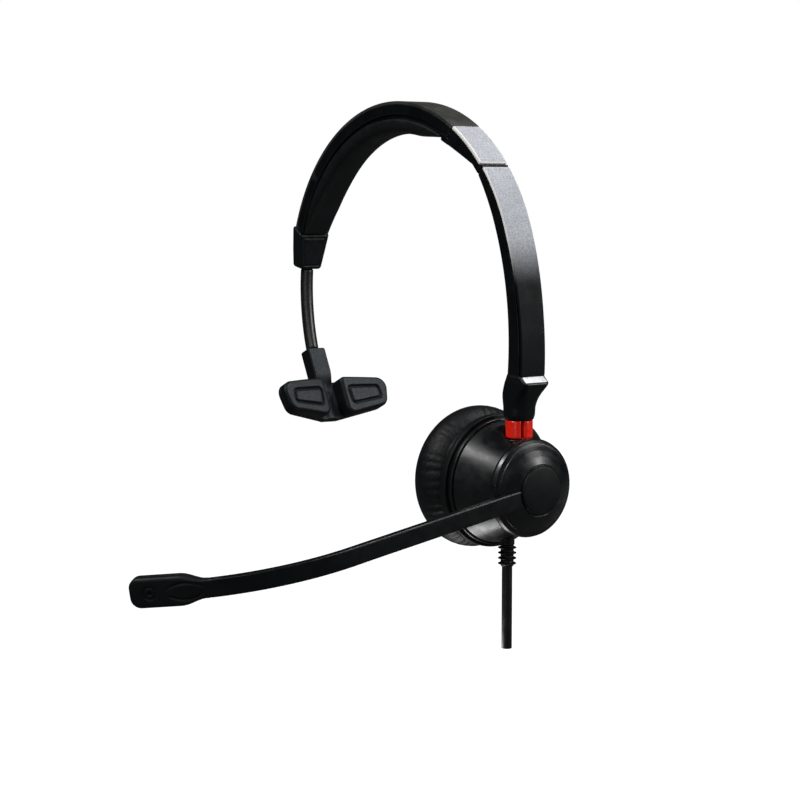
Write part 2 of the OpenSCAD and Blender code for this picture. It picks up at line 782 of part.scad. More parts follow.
// Round cable, cut off below the strain relief
module cable() {
    color([0.04, 0.04, 0.04]) translate([cable_x, 0, 0]) difference() {
        union() {
            translate([0, 0, cable_end_z]) cylinder(relief_low_z - fit_gap - cable_end_z, r = cable_r);
            translate([0, 0, cable_end_z + 1]) cylinder(core_top_z - cable_end_z - 1, r = cable_core_r);
        }
        for (sx = [-1, 1])
            translate([sx * wire_x, 0, cable_end_z - 1]) cylinder(100, r = wire_r + 0.01);
    }
}

// Copper conductors that run inside the cable to the board
module cable_wires() {
    color([0.8, 0.45, 0.2]) translate([cable_x, 0, 0]) for (sx = [-1, 1])
        translate([sx * wire_x, 0, cable_end_z]) cylinder(wire_top_z - cable_end_z, r = wire_r);
}

// Flanged pin that the boom hub turns on
module hub_axle() {
    color([0.65, 0.65, 0.68]) cup_frame() {
        translate([0, 0, back_lv - 2.4]) cylinder(2.35, r = 3.6);
        translate([0, 0, back_lv - 1]) cylinder(axle_end_lv - back_lv + 1, r = axle_r);
    }
}

// Spring washer that holds the boom where it is put
module hub_washer() {
    color([0.5, 0.5, 0.52]) cup_frame() translate([0, 0, cup_end_lv + 0.05]) tube(4.8, axle_r + 0.05, 0.28);
}

// Snap nut on the end of the axle, under the cap
module axle_nut() {
    color([0.45, 0.45, 0.47]) cup_frame() translate([0, 0, hub_plate_lv + 0.06])
        tube(3.4, axle_r + 0.01, axle_end_lv - hub_plate_lv - 0.06);
}

// ---- Boom ----

// Slot of the boom strap's root in the boom frame, with clearance c all round
module strap_root(c) {
    translate([strap_start - c, -strap_w / 2 - c, strap_lv - strap_t / 2 - c])
        cube([hub_r, strap_w + 2 * c, strap_t + 2 * c + 3]);
}

// Domed hub that turns on the ear cup and carries the boom
module hub_dome() {
    color([0.04, 0.04, 0.05]) difference() {
        cup_frame() rotate_extrude() polygon([[axle_r + run_gap, hub_lv], [5.2, hub_lv],
            [5.2, hub_plate_lv - 1.1], [9.2, hub_plate_lv - 1.1], [12.2, hub_lv + 4.3],
            [15.6, hub_lv + 2.4], [17.2, hub_lv + 1.2], [17.2, hub_lv], [hub_r, hub_lv],
            [hub_r, hub_lv + 1.2], [18, hub_lv + 2.9], [16.6, hub_lv + 3.8], [13.2, hub_lv + 5.8],
            [hub_cap_r + 0.6, hub_lv + 7.4], [hub_cap_r + 0.1, hub_lv + 7.4],
            [hub_cap_r + 0.1, hub_plate_lv], [axle_r + run_gap, hub_plate_lv]]);
        boom_frame() strap_root(fit_gap);
    }
    color([0.04, 0.04, 0.05]) boom_frame() difference() {
        translate([5, -4.5, hub_lv + 2.4]) cube([8, 9, strap_lv - strap_t / 2 - fit_gap - hub_lv - 2.4]);
        for (sy = [-1, 1])
            translate([root_screw_x, sy * root_screw_y, hub_lv]) cylinder(9, r = screw_r);
    }
}

// Round cap in the middle of the hub
module hub_cap() {
    color([0.06, 0.06, 0.07]) difference() {
        cup_frame() {
            translate([0, 0, cap_lv]) cylinder(0.7, r = hub_cap_r);
            intersection() {
                translate([0, 0, cap_lv + 1.3 - cap_dome_r]) sphere(cap_dome_r, $fn = 200);
                translate([0, 0, cap_lv + 0.6]) cylinder(5, r = hub_cap_r);
            }
            translate([0, 0, hub_plate_lv + fit_gap])
                tube(hub_cap_r, hub_cap_r - 1.2, cap_lv - hub_plate_lv);
        }
        boom_frame() translate([strap_start - 0.5, -strap_w / 2 - 0.1, 0])
            cube([hub_r, strap_w + 0.2, strap_lv + strap_t / 2 + 0.1]);
    }
}

// Straight rear part of the boom, fixed in the hub
module boom_rear() {
    color([0.04, 0.04, 0.05]) boom_frame() difference() {
        union() {
            translate([strap_start, -strap_w / 2, strap_lv - strap_t / 2])
                cube([boom_straight - strap_start, strap_w, strap_t]);
            across(strap_w) translate([boom_straight, strap_lv]) circle(strap_t / 2);
        }
        translate([strap_start - 1, 0, strap_lv]) rotate([0, 90, 0])
            cylinder(boom_straight - strap_start - 4, r = boom_wire_r + fit_gap);
        for (sy = [-1, 1])
            translate([root_screw_x, sy * root_screw_y, hub_lv]) cylinder(hub_lv - 34.4, r = screw_r);
    }
}

// Two screws that hold the boom in the hub
module boom_root_screws() {
    color([0.5, 0.5, 0.52]) boom_frame() for (sy = [-1, 1])
        translate([root_screw_x, sy * root_screw_y, 0]) {
            translate([0, 0, hub_lv + 1.6]) cylinder(0.75, r = head_r);
            translate([0, 0, hub_lv + 2.3]) cylinder(strap_lv - hub_lv - 2, r = screw_r - fit_gap);
        }
}

// Microphone wire and stiffener in the rear part
module boom_wire_rear() {
    color([0.8, 0.45, 0.2]) boom_frame() translate([strap_start + 0.5, 0, strap_lv]) rotate([0, 90, 0])
        cylinder(boom_straight - strap_start - 6, r = boom_wire_r);
}

// Curved front part of the boom
module boom_front() {
    color([0.04, 0.04, 0.05]) {
        boom_frame() difference() {
            across(strap_w)
                ring_part(boom_c, boom_curve_r - strap_t / 2, boom_curve_r + strap_t / 2, 0, boom_turn);
            across(strap_w + 1) translate([boom_straight, strap_lv]) circle(strap_t / 2 + run_gap);
            bent_bar(boom_c, boom_curve_r, boom_wire_r + fit_gap, 4, boom_turn - 3);
        }
        mic_frame() translate([-0.5, -2.5, -0.9]) cube([mic_neck_l + 0.5, 5, 1.8]);
    }
}

// Microphone wire and stiffener in the curved part
module boom_wire_front() {
    color([0.8, 0.45, 0.2]) boom_frame()
        bent_bar(boom_c, boom_curve_r, boom_wire_r, 4.5, boom_turn - 3.5);
}

// Outline of the capsule, seen from outside
module mic_outline() {
    corner = [mic_l - mic_round_r, mic_w / 2 - mic_round_r];
    polygon(concat([[mic_gap, -strap_w / 2], [mic_gap, strap_w / 2], [mic_neck_l * 2, mic_w / 2]],
        [for (t = [90:-15:0]) corner + mic_round_r * [cos(t), sin(t)]],
        [for (t = [0:-15:-90]) [corner[0], -corner[1]] + mic_round_r * [cos(t), sin(t)]],
        [[mic_neck_l * 2, -mic_w / 2]]));
}

// One half of the capsule, from the joint plane outward
module mic_half() {
    difference() {
        translate([0, 0, fit_gap / 2]) linear_extrude(mic_t / 2) mic_outline();
        translate([mic_port_x, 0, -1]) linear_extrude(mic_t / 2 + 0.1) round_rect(12, 8.6, 3);
        translate([-1, -2.6, -1]) cube([mic_neck_l + 1.1, 5.2, 1.95]);
        translate([mic_screw_x, 0, -1]) cylinder(2.6, r = screw_r);
    }
}

// Half of the capsule that faces away from the mouth, with the vent
module mic_shell_outer() {
    color([0.05, 0.05, 0.06]) mic_frame() difference() {
        mic_half();
        translate([mic_port_x, 0, 0]) cylinder(5, r = 0.8);
        translate([mic_port_x, 0, mic_t / 2 - 0.25]) tube(2.5, 1.9, 1);
    }
}

// Half of the capsule that faces the mouth
module mic_shell_inner() {
    color([0.05, 0.05, 0.06]) mic_frame() mirror([0, 0, 1]) difference() {
        mic_half();
        translate([mic_port_x, 0, 0]) cylinder(5, r = 1);
        translate([mic_screw_x, 0, 0]) cylinder(5, r = screw_r);
        translate([mic_screw_x, 0, mic_t / 2 - 0.8]) cylinder(5, r = head_r + fit_gap);
    }
}

// Microphone capsule element
module mic_element() {
    color([0.75, 0.75, 0.77]) mic_frame() translate([mic_port_x, 0, -1.2]) cylinder(2.4, r = 2.9);
}

// Rubber ring round the microphone element
module mic_gasket() {
    color([0.02, 0.02, 0.02]) mic_frame() translate([mic_port_x, 0, -1.3]) tube(3.9, 2.95, 2.6);
}

// Screw that joins the halves of the capsule
module mic_screw() {
    color([0.4, 0.4, 0.42]) mic_frame() translate([mic_screw_x, 0, 0]) {
        translate([0, 0, -mic_t / 2]) cylinder(0.7, r = head_r);
        translate([0, 0, -mic_t / 2 + 0.6]) cylinder(3.4, r = screw_r - fit_gap);
    }
}

// ---- Temple rest ----

// Bent steel rod: a thin core inside the band and a thicker jacketed part below it
module temple_rod() {
    color([0.05, 0.05, 0.06]) {
        bent_bar(crown_c, track_r, rod_core_r, rod_exit_turn - 0.3, rod_top_turn);
        bent_bar(rod_bend_c, rod_bend_r, rod_r, rod_end_turn, rod_exit_turn);
        rest_frame() difference() {
            translate([0, 0, -0.5]) cylinder(10, r = rod_core_r);
            translate([0, 0, stem_groove_z]) tube(rod_core_r + 1, rod_core_r - 0.45, 0.6);
        }
    }
}

// Block on the rod's upper end that stops it at full stretch
module rod_stop() {
    color([0.6, 0.6, 0.62]) difference() {
        across(6) ring_part(crown_c, track_r - 1.65, track_r + 1.6, rod_top_turn - 1, rod_top_turn + 1);
        bent_bar(crown_c, track_r, rod_core_r + 0.01, rod_top_turn - 3, rod_top_turn + 0.01);
    }
}

// Outline of one side of the temple rest, seen from the head
module rest_outline(y_in, y_out, inset) {
    hull() {
        translate([y_in + 2, stem_l + 2 + inset]) circle(2, $fn = 24);
        translate([y_out - 4, stem_l + 5.4 + inset]) circle(4, $fn = 24);
        translate([y_out - 5, stem_l + rest_h - 6.2 - inset]) circle(4, $fn = 24);
        translate([y_in + 3, stem_l + rest_h - 3 - inset]) circle(3, $fn = 24);
    }
}

// Stand a drawing of (y, z) up across local X, between two depths
module facing(x_a, x_b) {
    translate([x_a, 0, 0]) rotate([90, 0, 90]) linear_extrude(x_b - x_a) children();
}

// Plan of one side of the rest, between the levels given at its middle and at its end
module rest_plan(near, far_end, y_in) {
    end_y = rest_w / 2 + 1;
    linear_extrude(60)
        polygon([[near[0], y_in], [far_end[0], end_y], [far_end[1], end_y], [near[1], y_in]]);
}

// Stem and swept back of the temple rest
module rest_body() {
    color([0.05, 0.05, 0.06]) rest_frame() difference() {
        union() {
            translate([-stem_t / 2, -stem_w / 2, stem_gap]) cube([stem_t, stem_w, stem_l - stem_gap - 0.1]);
            facing(rest_spine_x, stem_t / 2)
                translate([-stem_w / 2, stem_l - 2]) square([stem_w, rest_h + 1]);
            for (side = [-1, 1]) mirror([0, side > 0 ? 0 : 1, 0]) intersection() {
                facing(-20, 20) rest_outline(0, rest_w / 2, 0);
                rest_plan([rest_spine_x, stem_t / 2], [rest_joint_x, rest_back_x], rest_y_in);
            }
        }
        cylinder(10.2, r = rod_core_r + run_gap);
        translate([-2.7, -2.7, stem_groove_z - 0.15]) cube([stem_t, 5.4, 1]);
    }
}

// One of the two raised pads; side is -1 for front and 1 for rear
module rest_pad(side) {
    rest_frame() mirror([0, side > 0 ? 0 : 1, 0]) difference() {
        intersection() {
            facing(-20, 20) rest_outline(rest_y_in, rest_w / 2, 0);
            rest_plan([-rest_face - rest_sweep * rest_y_in, rest_spine_x - fit_gap],
                [-rest_face - rest_sweep * rest_w / 2, rest_joint_x - fit_gap], rest_y_in);
        }
        facing(-20, -rest_face - rest_sweep * rest_w / 4 + 0.4) difference() {
            rest_outline(7.4, rest_w / 2 - 5, 3.6);
            rest_outline(8.3, rest_w / 2 - 5.9, 4.4);
        }
    }
}

module rest_pad_front() {
    color([0.24, 0.25, 0.27]) rest_pad(-1);
}

module rest_pad_rear() {
    color([0.24, 0.25, 0.27]) rest_pad(1);
}

// Snap ring that keeps the stem on the rod
module rest_retainer() {
    color([0.5, 0.5, 0.52]) rest_frame() translate([0, 0, stem_groove_z + 0.05]) difference() {
        tube(2.4, rod_core_r - 0.4, 0.5);
        translate([0, -0.6, -1]) cube([5, 1.2, 3]);
    }
}

band_shell();
band_top_cover();
band_spring();
spring_rivets();
head_pad();
pad_carrier();
slider_sleeve();
sleeve_trim_plate();
sleeve_screws();
detent_spring();
temple_clip();
rod_bush();
clip_screws();
arm_tongue();
tongue_rivets();
arm_body();
arm_trim_plate();
trim_lip();
swivel_pin();
pin_retainer();
collar_front_half();
collar_rear_half();
cup_housing();
housing_ring();
baffle_plate();
cushion_ring();
ear_cushion();
speaker_cloth();
speaker_frame();
speaker_magnet();
speaker_diaphragm();
circuit_board();
cup_screws();
strain_relief();
cable();
cable_wires();
hub_axle();
hub_washer();
axle_nut();
hub_dome();
hub_cap();
boom_rear();
boom_root_screws();
boom_wire_rear();
boom_front();
boom_wire_front();
mic_shell_outer();
mic_shell_inner();
mic_element();
mic_gasket();
mic_screw();
temple_rod();
rod_stop();
rest_body();
rest_pad_front();
rest_pad_rear();
rest_retainer();
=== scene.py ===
"""One-ear office headset: finished pieces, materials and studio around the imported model."""
import json
import math

import bmesh
import bpy
from mathutils import Matrix, Vector, noise

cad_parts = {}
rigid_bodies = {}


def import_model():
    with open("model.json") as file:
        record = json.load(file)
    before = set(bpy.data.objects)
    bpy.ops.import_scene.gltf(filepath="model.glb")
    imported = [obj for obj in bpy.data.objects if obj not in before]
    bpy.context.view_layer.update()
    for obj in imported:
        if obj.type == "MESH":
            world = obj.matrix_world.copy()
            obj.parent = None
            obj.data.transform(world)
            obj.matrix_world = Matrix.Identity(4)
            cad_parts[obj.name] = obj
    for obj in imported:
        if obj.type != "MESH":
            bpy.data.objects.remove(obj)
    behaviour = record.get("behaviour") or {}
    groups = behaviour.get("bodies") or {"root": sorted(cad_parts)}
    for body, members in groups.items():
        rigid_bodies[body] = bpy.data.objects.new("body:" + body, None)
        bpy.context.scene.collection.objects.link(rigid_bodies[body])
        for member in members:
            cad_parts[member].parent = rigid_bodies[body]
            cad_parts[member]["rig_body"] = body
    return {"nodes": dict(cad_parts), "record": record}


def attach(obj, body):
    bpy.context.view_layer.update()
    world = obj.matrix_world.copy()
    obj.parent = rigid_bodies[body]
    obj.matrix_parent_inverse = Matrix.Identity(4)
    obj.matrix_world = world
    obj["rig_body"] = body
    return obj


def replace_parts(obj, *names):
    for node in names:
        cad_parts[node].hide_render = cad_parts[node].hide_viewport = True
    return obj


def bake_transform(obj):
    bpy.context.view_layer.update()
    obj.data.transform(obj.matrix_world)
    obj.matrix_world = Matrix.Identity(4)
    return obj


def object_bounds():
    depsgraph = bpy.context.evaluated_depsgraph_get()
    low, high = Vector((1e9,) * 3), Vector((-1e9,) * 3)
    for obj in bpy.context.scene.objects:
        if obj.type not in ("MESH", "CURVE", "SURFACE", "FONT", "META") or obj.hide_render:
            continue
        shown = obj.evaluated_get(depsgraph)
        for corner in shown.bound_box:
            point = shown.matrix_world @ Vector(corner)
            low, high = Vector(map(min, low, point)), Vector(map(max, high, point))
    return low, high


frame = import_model()
CAD_BOX = [[float(x) for x in corner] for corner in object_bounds()]
MM = 0.001

# Sizes of the headset in millimetres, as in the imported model
CROWN_C = (-36.75, 69.3)
CROWN_R = 76.1
BAND_W = 13.0
COVER_T = 1.3
SHELL_T = 5.6
FLANK_R = 134.0
FLANK_TURN = 68.0
CLIP_TURN = -78.0
SHELL_START = -75.5
SLEEVE_TURN = 30.7
MOUTH_TURN = 48.7
ARM_TURN = MOUTH_TURN + math.degrees(0.9 / CROWN_R)
LIP_TOP = 40.9
LIP_LOW = 38.7
SWIVEL_X = 35.4
DROOP = math.radians(1.6)
CUSHION_R = 27.6
BOOM_DROOP = math.radians(10.0)
BOOM_DROP = 1.2
STRAP_LV = 47.0
STRAP_W = 6.7
STRAP_T = 3.0
BOOM_STRAIGHT = 86.0
BOOM_CURVE_R = 80.0
BOOM_TURN = 37.5
MIC_BEND = 9.0
MIC_L = 28.0
MIC_START = -0.6
MIC_NECK = 3.35
CABLE_X = 28.7
SLIDE_C = (-62.15877, 31.10709)
SLIDE_R = 118.0
PAD_START = -71.3
PAD_END = 27.0
PAD_DEPTH = 12.9
ROD_R = 73.1
REST_OUT = 27.2
REST_SPREAD = 0.089


# ---- Frames ----

def turn_dir(turn):
    a = math.radians(turn)
    return math.sin(a), math.cos(a)


def on_arc(centre, radius, turn):
    s, c = turn_dir(turn)
    return centre[0] + radius * s, centre[1] + radius * c


FLANK_C = tuple(c - (FLANK_R - CROWN_R) * d for c, d in zip(CROWN_C, turn_dir(FLANK_TURN)))
CUP = Matrix(((-math.sin(DROOP), 0, math.cos(DROOP), 0), (0, 1, 0, 0),
              (-math.cos(DROOP), 0, -math.sin(DROOP), 0), (0, 0, 0, 1)))
SWIVEL = Matrix.Translation((SWIVEL_X, 0, 0))
BOOM = CUP @ Matrix.Rotation(BOOM_DROOP - math.pi / 2, 4, "Z") @ Matrix.Translation((0, BOOM_DROP, 0))
TIP_PLACE = (BOOM_STRAIGHT + BOOM_CURVE_R * math.sin(math.radians(BOOM_TURN)), 0,
             STRAP_LV - BOOM_CURVE_R * (1 - math.cos(math.radians(BOOM_TURN))))
MIC = BOOM @ Matrix.Translation(TIP_PLACE) @ Matrix.Rotation(math.radians(BOOM_TURN + MIC_BEND), 4, "Y")


# ---- Mesh builders: everything is drawn in millimetres and written in metres ----

def new_piece(name, bm, material):
    bmesh.ops.remove_doubles(bm, verts=bm.verts, dist=1e-7)
    bmesh.ops.recalc_face_normals(bm, faces=bm.faces)
    mesh = bpy.data.meshes.new(name)
    bm.to_mesh(mesh)
    bm.free()
    obj = bpy.data.objects.new(name, mesh)
    bpy.context.collection.objects.link(obj)
    mesh.materials.append(material)
    for p in mesh.polygons:
        p.use_smooth = True
    weighted = obj.modifiers.new("weighted", "WEIGHTED_NORMAL")
    weighted.weight = 80
    return obj


def clamp(t):
    return max(0.0, min(1.0, t))


def smooth(t):
    """Runs from 0 to 1 with soft ends."""
    t = clamp(t)
    return t * t * (3 - 2 * t)


def circle(r, count):
    turns = [2 * math.pi * k / count for k in range(count)]
    return [(r * math.cos(a), r * math.sin(a)) for a in turns]


def rrect(n0, n1, half, r_low, r_high, segs=4):
    """Rounded rectangle in (n, y): corners of radius r_low at n0 and r_high at n1."""
    pts = []
    for cn, cy, a0, r in ((n1 - r_high, half - r_high, 0, r_high), (n0 + r_low, half - r_low, 90, r_low),
                          (n0 + r_low, r_low - half, 180, r_low), (n1 - r_high, r_high - half, 270, r_high)):
        for k in range(segs + 1):
            a = math.radians(a0 + 90 * k / segs)
            pts.append((cn + r * math.cos(a), cy + r * math.sin(a)))
    return pts


def end_steps(length, bevel, count):
    """Distances along a bar with their insets, so that both ends come out rounded."""
    rim = [(bevel * (1 - math.cos(a)), bevel * (1 - math.sin(a)))
           for a in (math.radians(d) for d in (0, 30, 60, 90))]
    body = [bevel + (length - 2 * bevel) * k / count for k in range(1, count)]
    return rim + [(s, 0.0) for s in body] + [(length - s, i) for s, i in reversed(rim)]


def arc_path(centre, radius, turn_a, turn_b):
    def path(s):
        turn = turn_a + (turn_b - turn_a) * s / length
        return on_arc(centre, radius, turn), turn_dir(turn)
    length = abs(math.radians(turn_b - turn_a)) * radius
    return path, length


def arm_path(turn_a, low_turn):
    """The outside of the arm: the crown's circle, then the flatter circle below it."""
    first = math.radians(FLANK_TURN - turn_a) * CROWN_R
    second = math.radians(low_turn - FLANK_TURN) * FLANK_R

    def path(s):
        if s < first:
            turn = turn_a + math.degrees(s / CROWN_R)
            return on_arc(CROWN_C, CROWN_R, turn), turn_dir(turn)
        turn = FLANK_TURN + math.degrees((s - first) / FLANK_R)
        return on_arc(FLANK_C, FLANK_R, turn), turn_dir(turn)
    return path, first + second


def fillet(points, radius, segs=4, closed=True):
    """Polyline with its corners rounded; radius is one number or one per point."""
    out = []
    count = len(points)
    for i, p in enumerate(points):
        r = radius[i] if isinstance(radius, (list, tuple)) else radius
        if (not closed and i in (0, count - 1)) or r <= 0:
            out.append(tuple(p))
            continue
        p = Vector(p)
        a, b = Vector(points[i - 1]) - p, Vector(points[(i + 1) % count]) - p
        da, db = a.normalized(), b.normalized()
        angle = da.angle(db)
        cut = min(r / math.tan(angle / 2), a.length * 0.48, b.length * 0.48)
        pa, pb = p + da * cut, p + db * cut
        for k in range(segs + 1):
            t = k / segs
            out.append(tuple(pa * (1 - t) ** 2 + p * 2 * t * (1 - t) + pb * t ** 2))
    return out


def lathe(name, profile, place, material, segs=128):
    """Ring or disc about local Z from a closed profile of (radius, height)."""
    bm = bmesh.new()
    rows = []
    for r, u in profile:
        if r < 1e-6:
            rows.append([bm.verts.new(place @ Vector((0, 0, u)) * MM)])
            continue
        rows.append([bm.verts.new(place @ Vector((x, y, u)) * MM) for x, y in circle(r, segs)])
    for a, b in zip(rows, rows[1:] + rows[:1]):
        for k in range(segs):
            j = (k + 1) % segs
            quad = [a[k % len(a)], a[j % len(a)], b[j % len(b)], b[k % len(b)]]
            ring = list(dict.fromkeys(quad))
            if len(ring) > 2:
                bm.faces.new(ring)
    return new_piece(name, bm, material)


def hull_loop(circles, segs=6):
    """Outline round circles (a, b, r) given in counter-clockwise order."""
    count = len(circles)
    angles = []
    for i in range(count):
        a, b = circles[i], circles[(i + 1) % count]
        dx, dy = b[0] - a[0], b[1] - a[1]
        d = math.hypot(dx, dy)
        angles.append(math.atan2(dy, dx) - math.acos(max(-1, min(1, (a[2] - b[2]) / d))))
    pts = []
    for i, (cx, cy, r) in enumerate(circles):
        start, end = angles[i - 1], angles[i]
        while end < start:
            end += 2 * math.pi
        for k in range(segs + 1):
            t = start + (end - start) * k / segs
            pts.append((cx + r * math.cos(t), cy + r * math.sin(t)))
    return pts


# ---- Materials ----

def nodes_of(name):
    mat = bpy.data.materials.new(name)
    mat.use_nodes = True
    tree = mat.node_tree
    return mat, tree, tree.nodes["Principled BSDF"]


def link(tree, a, out, b, inp):
    tree.links.new(a.outputs[out], b.inputs[inp])


def noise_node(tree, coord, scale, detail=4.0, stretch=None):
    n = tree.nodes.new("ShaderNodeTexNoise")
    n.inputs["Scale"].default_value = scale
    n.inputs["Detail"].default_value = detail
    if stretch:
        m = tree.nodes.new("ShaderNodeMapping")
        m.inputs["Scale"].default_value = stretch
        link(tree, coord, "Object", m, "Vector")
        link(tree, m, "Vector", n, "Vector")
    else:
        link(tree, coord, "Object", n, "Vector")
    return n


def remap(tree, node, out, low, high, f0=0.35, f1=0.65):
    m = tree.nodes.new("ShaderNodeMapRange")
    m.inputs["From Min"].default_value = f0
    m.inputs["From Max"].default_value = f1
    m.inputs["To Min"].default_value = low
    m.inputs["To Max"].default_value = high
    link(tree, node, out, m, "Value")
    return m


def mixed(tree, factor, first, second):
    """Mix of two colours by a factor node; each colour is a node or a plain (r, g, b)."""
    mix = tree.nodes.new("ShaderNodeMixRGB")
    tree.links.new(factor.outputs[0], mix.inputs["Fac"])
    for slot, colour in (("Color1", first), ("Color2", second)):
        if isinstance(colour, tuple):
            mix.inputs[slot].default_value = (*colour, 1)
        else:
            tree.links.new(colour.outputs[0], mix.inputs[slot])
    return mix


def along(tree, node, out, direction):
    """How far a vector runs in the direction."""
    dot = tree.nodes.new("ShaderNodeVectorMath")
    dot.operation = "DOT_PRODUCT"
    dot.inputs[1].default_value = direction
    link(tree, node, out, dot, 0)
    return dot


def finish_material(name, color, rough, metal=0.0, coat=0.0, spec=0.5, grain=(3000, 0.12), cells=None,
                    vary=0.25, rough_var=0.06, stretch=None, edge=0.0, fade=None, sheen=0.0,
                    speckle=0.0, highlight_rims=()):
    """Moulded, metal or leather finish: mottled colour, uneven gloss, grain, and a painted highlight on
    convex edges.

    grain and cells are (scale, strength); fade is (low z, high z, colour at the low end), a painted shade
    towards the low z; each highlight rim is a painted highlight line (direction, start, end). Lengths are in
    millimetres.
    """
    mat, tree, bsdf = nodes_of(name)
    coord = tree.nodes.new("ShaderNodeTexCoord")
    mottle = remap(tree, noise_node(tree, coord, 90, 5), "Fac", 0, 1)
    last = mixed(tree, mottle, tuple(c * (1 - vary) for c in color), tuple(c * (1 + vary) for c in color))
    if speckle:
        dots = noise_node(tree, coord, 1900, 1)
        fleck = tree.nodes.new("ShaderNodeMixRGB")
        fleck.blend_type = "MULTIPLY"
        fleck.inputs["Fac"].default_value = 1.0
        link(tree, last, "Color", fleck, "Color1")
        link(tree, remap(tree, dots, "Fac", 1 - speckle, 1 + speckle), "Result", fleck, "Color2")
        last = fleck
    # Each highlight rim paints a near-white highlight line on the plate.
    for direction, low, high in highlight_rims:
        reach = along(tree, coord, "Object", direction)
        last = mixed(tree, remap(tree, reach, "Value", 0, 1, low * MM, high * MM), last, RIM_HIGHLIGHT)
    if fade:
        # fade paints shade: the colour goes to the dark end colour, and the metal goes away, towards the low
        # z.
        z_low, z_high, dark = fade
        sep = tree.nodes.new("ShaderNodeSeparateXYZ")
        link(tree, coord, "Object", sep, "Vector")
        shade_ramp = remap(tree, sep, "Z", 0, 1, z_low * MM, z_high * MM)
        shade_ramp.interpolation_type = "SMOOTHSTEP"
        last = mixed(tree, shade_ramp, dark, last)
        shiny = tree.nodes.new("ShaderNodeMath")
        shiny.operation = "MULTIPLY"
        shiny.inputs[1].default_value = metal
        link(tree, shade_ramp, "Result", shiny, 0)
        link(tree, shiny, "Value", bsdf, "Metallic")
    else:
        bsdf.inputs["Metallic"].default_value = metal
    # Convex edges, found by pointiness, are painted paler: a painted edge highlight.
    if edge:
        geo = tree.nodes.new("ShaderNodeNewGeometry")
        edge_highlight = tuple(min(1, c * 2.2 + 0.02) for c in color)
        last = mixed(tree, remap(tree, geo, "Pointiness", 0, edge, 0.52, 0.6), last, edge_highlight)
    link(tree, last, "Color", bsdf, "Base Color")
    smudge = noise_node(tree, coord, 240, 6, stretch)
    link(tree, remap(tree, smudge, "Fac", rough - rough_var, rough + rough_var), "Result", bsdf, "Roughness")
    fine = noise_node(tree, coord, grain[0], 3, stretch)
    bump = tree.nodes.new("ShaderNodeBump")
    bump.inputs["Strength"].default_value = grain[1]
    bump.inputs["Distance"].default_value = 0.0002
    link(tree, fine, "Fac", bump, "Height")
    if cells:
        vor = tree.nodes.new("ShaderNodeTexVoronoi")
        vor.feature = "DISTANCE_TO_EDGE"
        vor.inputs["Scale"].default_value = cells[0]
        link(tree, coord, "Object", vor, "Vector")
        cell = tree.nodes.new("ShaderNodeBump")
        cell.inputs["Strength"].default_value = cells[1]
        cell.inputs["Distance"].default_value = 0.0003
        link(tree, remap(tree, vor, "Distance", 0, 1, 0.0, 0.16), "Result", cell, "Height")
        link(tree, bump, "Normal", cell, "Normal")
        bump = cell
    link(tree, bump, "Normal", bsdf, "Normal")
    bsdf.inputs["Coat Weight"].default_value = coat
    bsdf.inputs["Coat Roughness"].default_value = 0.12
    bsdf.inputs["Specular IOR Level"].default_value = spec
    bsdf.inputs["Sheen Weight"].default_value = sheen
    return mat


def end_highlight(turn, side):
    """Painted highlight line across a plate's end on the crown's arc, facing to higher (1) or lower (-1)
    turns.
    """
    (px, pz), (nx, nz) = on_arc(CROWN_C, CROWN_R, turn), turn_dir(turn)
    outward = (side * nz, 0.0, -side * nx)
    end = outward[0] * px + outward[2] * pz
    return outward, end - 0.45, end - 0.3


